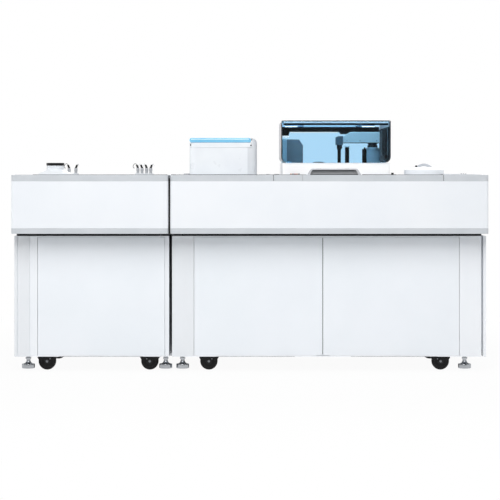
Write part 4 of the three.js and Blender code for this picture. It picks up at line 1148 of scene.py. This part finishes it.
# A paler blue bead along the front of the window paints the highlight line on its upper edge.
add_block(
    "lid_window_bead", (-266, -355.2, 1053), (-4, -352, 1057.4), (1, 3, along(0)), 0,
    "hopper_lid", pale_blue_highlight, "lid_blue",
)
rail = [block("rail", (-4.9, -325, 1040.7), (-0.9, -85, 1061.6))]
for y0, y1 in ((-324.6, -285.4), (-124.6, -85.4)):
    rail += [
        rod("knuckle", 4.8, (HINGE_X, y0, HINGE_Z), (HINGE_X, y1, HINGE_Z), 28),
        block("leaf", (-2, y0, 1054.5), (HINGE_X, y1, 1060)),
    ]
fit(soften(fuse("lid_hinge_rail", rail), 0.5), "hopper_lid", white_abs, "white_plastic")
screw = rod("lid_screw", 3.2, (5, -356.4, 1028), (5, -353, 1028), 24)
panel(screw, facing(1, -1), (1, 0), (0.2, 1))
fit(soften(screw, 0.3), "hopper_lid", black_abs, "black_plastic")
pin = rod("hopper_pin", 2, (HINGE_X, -324.6, HINGE_Z), (HINGE_X, -85.4, HINGE_Z), 24)
bevel(pin, 0.6, 3, lambda at, run: abs(run.y) < 0.5)
fit(smooth(pin), "frame", steel, "pin_steel", "hopper_hinge_pin")


# Round covers on the deck

dome = turned("reaction_cover", [
    (77, 894.3), (78, 895.2), (78, 898.6), (77.2, 899.8), (72, 903), (65, 906.4), (57, 909.6),
    (50, 912), (44.5, 914.2), (41.6, 916.8), (40.3, 920.5), (40, 925), (40, 935.6), (39.4, 936.8),
    (38.4, 937.3), (37.6, 936.9), (37, 935.8), (37, 917.5), (30, 917.5),
], DOME, 96)
bored(dome, [
    (3, 0), (74, 894.3), (74, 898), (66, 902.4), (54, 907.4), (44, 911), (36, 913.6), (20, 914),
], DOME)
fit(smooth(dome, 34), "disc_cover", dome_white, "white_plastic", "disc_cover")
add_turned("cover_cap", [
    (35, 923.6), (36, 924.6), (36, 937.6), (40.5, 937.6), (41.5, 938.8), (41.5, 947.6), (40.6, 949),
    (39, 949.6), (30, 949.6), (29.2, 948.8), (10, 948.8),
], DOME, 96, 34, "cover_knob", gloss_black, "black_plastic", "cover_knob")
lid = turned("reagent_cover", [
    (88.8, 894.3), (90, 894.8), (90.4, 896.6), (91, 898), (91, 914.6), (90.2, 916.4), (88.4, 917.4),
    (80, 920.2), (68, 923.6), (56, 926.6), (47, 928.6), (44, 929.5), (42, 929.8), (16, 929.8),
], LID, 112)
bored(lid, [
    (4, 0), (85, 894.3), (85, 910), (80, 914), (64, 919), (44, 924), (20, 925),
], LID)
fit(smooth(lid, 34), "reagent_lid", cover_white, "white_plastic", "reagent_lid")

# The arched handle is the top of an upright ring, cut off flat at the lid and at both ends.
HANDLE_RADIUS, HANDLE_BAR, HANDLE_TOP = 51.95, 12, 946.1
x, hub_z = LID[0], HANDLE_TOP - HANDLE_RADIUS
y0, y1 = LID[1] - 7.5, LID[1] + 7.5
handle = rod("lid_handle", HANDLE_RADIUS, (x, y0, hub_z), (x, y1, hub_z), 128)
subtract(handle, rod(
    "inner", HANDLE_RADIUS - HANDLE_BAR, (x, y0 - 5, hub_z), (x, y1 + 5, hub_z), 128,
))
plane_cut(handle, (0, 0, 930.1), (0, 0, -1))
plane_cut(handle, (x - 32, 0, 0), (-1, 0, 0))
plane_cut(handle, (x + 40, 0, 0), (1, 0, 0))
fit(soften(handle, 1.4, 4), "reagent_lid", handle_pc, "handle_grey", "reagent_lid_handle")
add_block(
    "lid_handle_end", (x - 40, LID[1] - 8.5, 929.9), (x - 31.5, LID[1] + 8.5, 938),
    (3, 4, along(1, z_min=937)), 0.8, "reagent_lid", gloss_black, "black_plastic",
)


# Wash heads: pale posts on a base, with dark fittings and steel tubes

# Each tube's bends: how far out to the side, how far forward, and the height
LONG_TUBE = (
    (4.4, 0, 938), (9, 2, 945), (15, 5, 945.5), (20, 8, 940), (22, 10, 932), (19, 12, 926.5),
    (15, 13, 926),
)
SHORT_TUBE = ((4.4, 0, 938), (8, 0, 943.5), (12, 2, 944), (15, 5, 940), (15, 7, 934))
for body, posts, leans in (
    ("wash_head_left", (-846, -814), (-1, 1)),
    ("wash_head_right", (-524, -504.5, -483, -464), (-1, -1, -1, 1)),
):
    base = block(
        "base", (posts[0] - 13.5, WASH_Y - 13.5, 894.3), (posts[-1] + 13.5, WASH_Y + 13.5, 900.3),
    )
    base = fuse(body + "_base", [bevel(base, 9, 6, along(2))] + [
        turned("guide_pin", [(3.6, 872), (5, 873.4), (5, 896)], (x, WASH_Y), 24)
        for x in (posts[0], posts[-1])
    ])
    fit(soften(base, 0.8), body, pale_abs, "pale_grey", body)
    for i, (x, lean) in enumerate(zip(posts, leans)):
        add_turned(f"{body}_post_{i}", [
            (7.5, 900), (7.5, 903), (6.6, 904), (6.6, 911), (7.5, 912), (7.5, 923), (6.8, 925),
            (5.4, 926.3), (2.4, 926.3),
        ], (x, WASH_Y), 32, 30, body, post_grey, "pale_grey")
        fitting = fuse(f"{body}_fitting_{i}", [
            rod(name, r, (x + out0 * lean, WASH_Y, z0), (x + out1 * lean, WASH_Y, z1), sides)
            for name, r, out0, z0, out1, z1, sides in (
                ("nut", 5.8, 0, 925.8, 1.5, 931, 6), ("elbow", 4.2, 1, 929, 5.5, 940.5, 20),
                ("sleeve", 5, 3.5, 935, 5, 939.5, 20),
            )
        ])
        fit(soften(fitting, 0.6), body, beam_black, "black_plastic")
        tube = pipe(f"{body}_tube_{i}", [
            (x + out * lean, WASH_Y - ahead, z)
            for out, ahead, z in (SHORT_TUBE if i else LONG_TUBE)
        ], 1.3)
        fit(tube, body, steel if i else gloss_black, "pin_steel")


# Reaction disc with its cuvettes, and the reagent carousel with its bottles


def ring_place(centre, radius, index, count):
    """One of several evenly spaced places round a centre."""
    turn = 2 * math.pi * index / count
    return centre[0] + radius * math.cos(turn), centre[1] + radius * math.sin(turn)


disc = turned("reaction_rotor", [
    (52, 849.3), (62.6, 850), (64, 852), (64, 868.6), (62.8, 870.4), (60.5, 871.3), (49, 871.3),
    (48, 870), (24, 868.4), (16, 871.3), (15, 874), (13.4, 875.4), (9, 875.4),
], DOME, 96)
subtract(disc, rod("bore", 8.6, (*DOME, 845), (*DOME, 873), 40))
fit(smooth(disc, 30), "reaction_disc", black_abs, "disc_black", "reaction_disc")
first = ring_place(DOME, 55, 0, 12)
cuvette = dress(smooth(turned("cuvette", [
    (4, 868), (4.7, 869), (4.7, 875.4), (5, 875.9), (5, 877), (4.4, 877.3), (3.8, 876.8),
    (3.6, 870.6),
], first, 24), 30), clear_ps)
for i in range(12):
    x, y = ring_place(DOME, 55, i, 12)
    copy = twin(cuvette, f"cuvette_{i:02d}", x - first[0], y - first[1])
    fit(copy, "reaction_disc", None, "disc_black")
bpy.data.objects.remove(cuvette)

carousel = turned("reagent_rotor", [
    (70, 788.3), (80.6, 789), (82, 790.8), (82, 803.6), (80.8, 805.6), (78.6, 806.3), (36, 806.3),
    (35, 805.2), (24, 805.2), (22, 807), (22, 812), (20.6, 813.4), (10, 813.4),
], LID, 96)
subtract(carousel, rod("bore", 8.6, (*LID, 785), (*LID, 808), 40))
fit(smooth(carousel, 30), "carousel", pale_abs, "pale_grey", "reagent_carousel")
first = ring_place(LID, 56, 0, 8)
bottle = dress(smooth(turned("bottle", [
    (15.8, 806.3), (17, 807.4), (17, 846), (16, 850), (12.5, 853.6), (9.4, 855), (9.4, 858),
], first, 32), 30), natural_hdpe)
cap = turned("bottle_cap", [
    (11, 857.6), (11.4, 858.2), (11.4, 866.8), (10.6, 868), (9.2, 868.3), (8.4, 867.6), (3, 867.6),
], first, 40)
panel(cap, lambda at, normal: abs(normal.z) < 0.1 and 860 < at.z < 865, (0.25, 0.35), apart=True)
smooth(cap, 25)
for i, finish in enumerate(
    (cap_blue, cap_white, cap_red, cap_white, cap_blue, cap_green, cap_white, cap_amber)
):
    x, y = ring_place(LID, 56, i, 8)
    step = (x - first[0], y - first[1])
    fit(twin(bottle, f"reagent_bottle_{i}", *step), "carousel", None, "pale_grey")
    fit(twin(cap, f"reagent_bottle_cap_{i}", *step), "carousel", finish, "pale_grey")
for piece in (bottle, cap):
    bpy.data.objects.remove(piece)


# Waste tank, blow moulded, with a ribbed red cap

NECK = (-872, -60)
tank = bevel(block("tank_body", (-1002, -225, 108.3), (-742, 105, 408)), 24, 8, along(2))
bevel(tank, 12, 6, lambda at, run: at.z > 407 or at.z < 109)
for z in (170, 240, 310):
    subtract(tank, *(block("groove", (*low, z), (*high, z + 9)) for low, high in (
        ((-1010, -235), (-999.6, 115)), ((-744.4, -235), (-730, 115)),
        ((-1010, -235), (-730, -222.6)), ((-1010, 102.6), (-730, 120)),
    )))
fit(soften(tank, 1.6, 3), "frame", natural_hdpe, "tank_white", "waste_tank")
add_turned("tank_neck", [
    (32, 406), (32, 414), (30.4, 415.4), (30.4, 423), (29, 424.4), (20, 424.4),
], NECK, 64, 30, "frame", natural_hdpe, "tank_white")
cap = turned("tank_cap", [
    (31, 416), (32, 417), (32, 433.4), (30.6, 435.4), (28, 436), (22, 436), (21, 434.8), (6, 434.8),
], NECK, 72)
panel(cap, lambda at, normal: abs(normal.z) < 0.1 and 418 < at.z < 433, (0.5, 0.8), apart=True)
fit(smooth(cap, 25), "frame", cap_red, "tank_white")


# Rear: the covers' screws, a fan guard on each module, and a power inlet with its switch


def rear_turned(name, rings, x, z, sides=64, y=REAR_Y):
    """A turned piece laid on a rear cover, facing back."""
    piece = turned(name, rings, (0, 0), sides)
    piece.rotation_euler = (-math.pi / 2, 0, 0)
    piece.location = (x * MM, y * MM, z * MM)
    return smooth(settle(piece, name), 30)


for side, xs in (("left", (-1052, -388)), ("right", (-334, 129, 592, 1055))):
    for i, x in enumerate(xs):
        for j, z in enumerate((92, 345, 592)):
            screw = rear_turned(
                f"rear_screw_{side}_{i}_{j}",
                [(4.6, 0), (4.6, 1), (3.6, 2.2), (1.8, 2.4), (1.4, 1.4)], x, z, 20, 411.6,
            )
            fit(screw, "frame", steel, "pin_steel")

FAN_Z = 200
for side, x in (("left", -560), ("right", 860)):
    plate = rear_turned(
        f"fan_plate_{side}", [(57, -0.4), (58, 0.3), (58, 0.6), (20, 0.6)], x, FAN_Z,
    )
    fit(plate, "frame", beam_black, "black_plastic")
    wires = [
        rear_turned("wire", [
            (r - 1, 1.1), (r, 1.1), (r + 0.7, 1.6), (r + 0.7, 2.1), (r, 2.6), (r - 1, 2.6),
            (r - 1, 1.2),
        ], x, FAN_Z, 72)
        for r in (54, 43, 32, 21)
    ]
    hub = [(11, 0.5), (12, 1.2), (12, 2), (10.6, 2.8), (5, 2.8)]
    wires.append(rear_turned("hub", hub, x, FAN_Z, 40))
    for tilt in (45, -45):
        spoke = block("spoke", (-59, 412.4, -1.6), (59, 414.2, 1.6))
        spoke.rotation_euler = (0, math.radians(tilt), 0)
        spoke.location = (x * MM, 0, FAN_Z * MM)
        wires.append(settle(spoke, "spoke"))
    fit(smooth(fuse(f"fan_guard_{side}", wires), 30), "frame", steel, "rear_grey")

inlet = bevel(block("power_inlet_plate", (480, 411.6, 118), (568, 414, 166)), 4, 4, along(1))
socket = block("socket", (488, 412.4, 126), (518, 420, 158))
subtract(inlet, bevel(socket, 6, 4, along(1, z_min=157)))
fit(soften(inlet, 0.4), "frame", black_abs, "black_plastic")
pins = fuse("power_inlet_pins", [
    block("pin", (x - 1.2, REAR_Y, z - 3), (x + 1.2, REAR_Y + 2, z + 3))
    for x, z in ((496, 138), (503, 146), (510, 138))
])
fit(soften(pins, 0.3), "frame", steel, "pin_steel")
rocker = block("power_switch_rocker", (530, 412.6, 128), (558, 414.8, 156))
pick(rocker, "EDGE", along(0, y_min=414, z_max=129))
bpy.ops.transform.translate(value=(0, -1.2 * MM, 0))
leave()
fit(soften(rocker, 0.5), "frame", cap_red, "black_plastic")


# Small things on the right deck: a crowned end cover, side rails, latches and a strip of tubes

end_cover = block("end_cover", (873.8, -412, 893.8), (1071, 412, 898.6))
stepped_top(end_cover, {920: 0.2, 965: 0.8, 1005: 1.8, 1040: 3, 1071: 4.6})
bevel(end_cover, 1, 3, lambda at, run: at.z > 894 and abs(run.y) < 0.5 and at.y < -411)
fit(smooth(end_cover, 20), "frame", grey_abs, "band_grey")
for i, (x0, x1) in enumerate(((951, 958), (962, 967), (972, 976))):
    lug = block(f"end_cover_lug_{i}", (x0, -398, 896), (x1, -380, 901))
    fit(soften(lug, 1.2, 3), "frame", post_grey, "band_grey")
add_block(
    "hopper_side_rail", (-301, -340, 894.1), (-276, -80, 901), (4, 4, where(z_min=900)), 0,
    "frame", post_grey, "band_grey",
)
for i, (x0, x1, top) in enumerate((
    (-356, -332, 897.4), (-320, -314, 897), (73, 90, 898), (108, 134, 898.5),
)):
    latch = block(f"deck_latch_{i}", (x0, -402, 894.1), (x1, -384, top))
    taper(latch, facing(2), (0.8, 0.7, 1), ((x0 + x1) / 2, -393, top))
    panel(latch, facing(2), (1.4, 0.8))
    fit(soften(latch, 0.5), "frame", seam_shade, "black_plastic")
add_block(
    "tube_strip", (179, -403, 894.1), (228, -385, 897), (3, 3, along(2)), 0.5,
    "frame", black_abs, "black_plastic",
)
for i, finish in enumerate((cap_amber, cap_brown, cap_red, cap_amber, cap_brown)):
    add_turned(f"tube_stopper_{i}", [
        (3.4, 896), (3.9, 896.6), (3.9, 899.4), (3.2, 900.4), (2.4, 900.6), (1.6, 899.8),
    ], (185.5 + 9 * i, -394), 24, 30, "frame", finish, "black_plastic")
clip_base = block("lid_clip_base", (622, -404, 894.1), (668, -386, 896.6))
taper(clip_base, facing(2), (0.7, 0.8, 1), (645, -395, 896.6))
fit(soften(clip_base, 0.5), "frame", post_grey, "band_grey")
add_turned("lid_clip", [
    (6, 896), (6.4, 897), (5, 898), (5, 900), (6.6, 901), (6.6, 903), (5, 904), (2, 904),
], (643, -395), 32, 30, "frame", beam_black, "black_plastic")
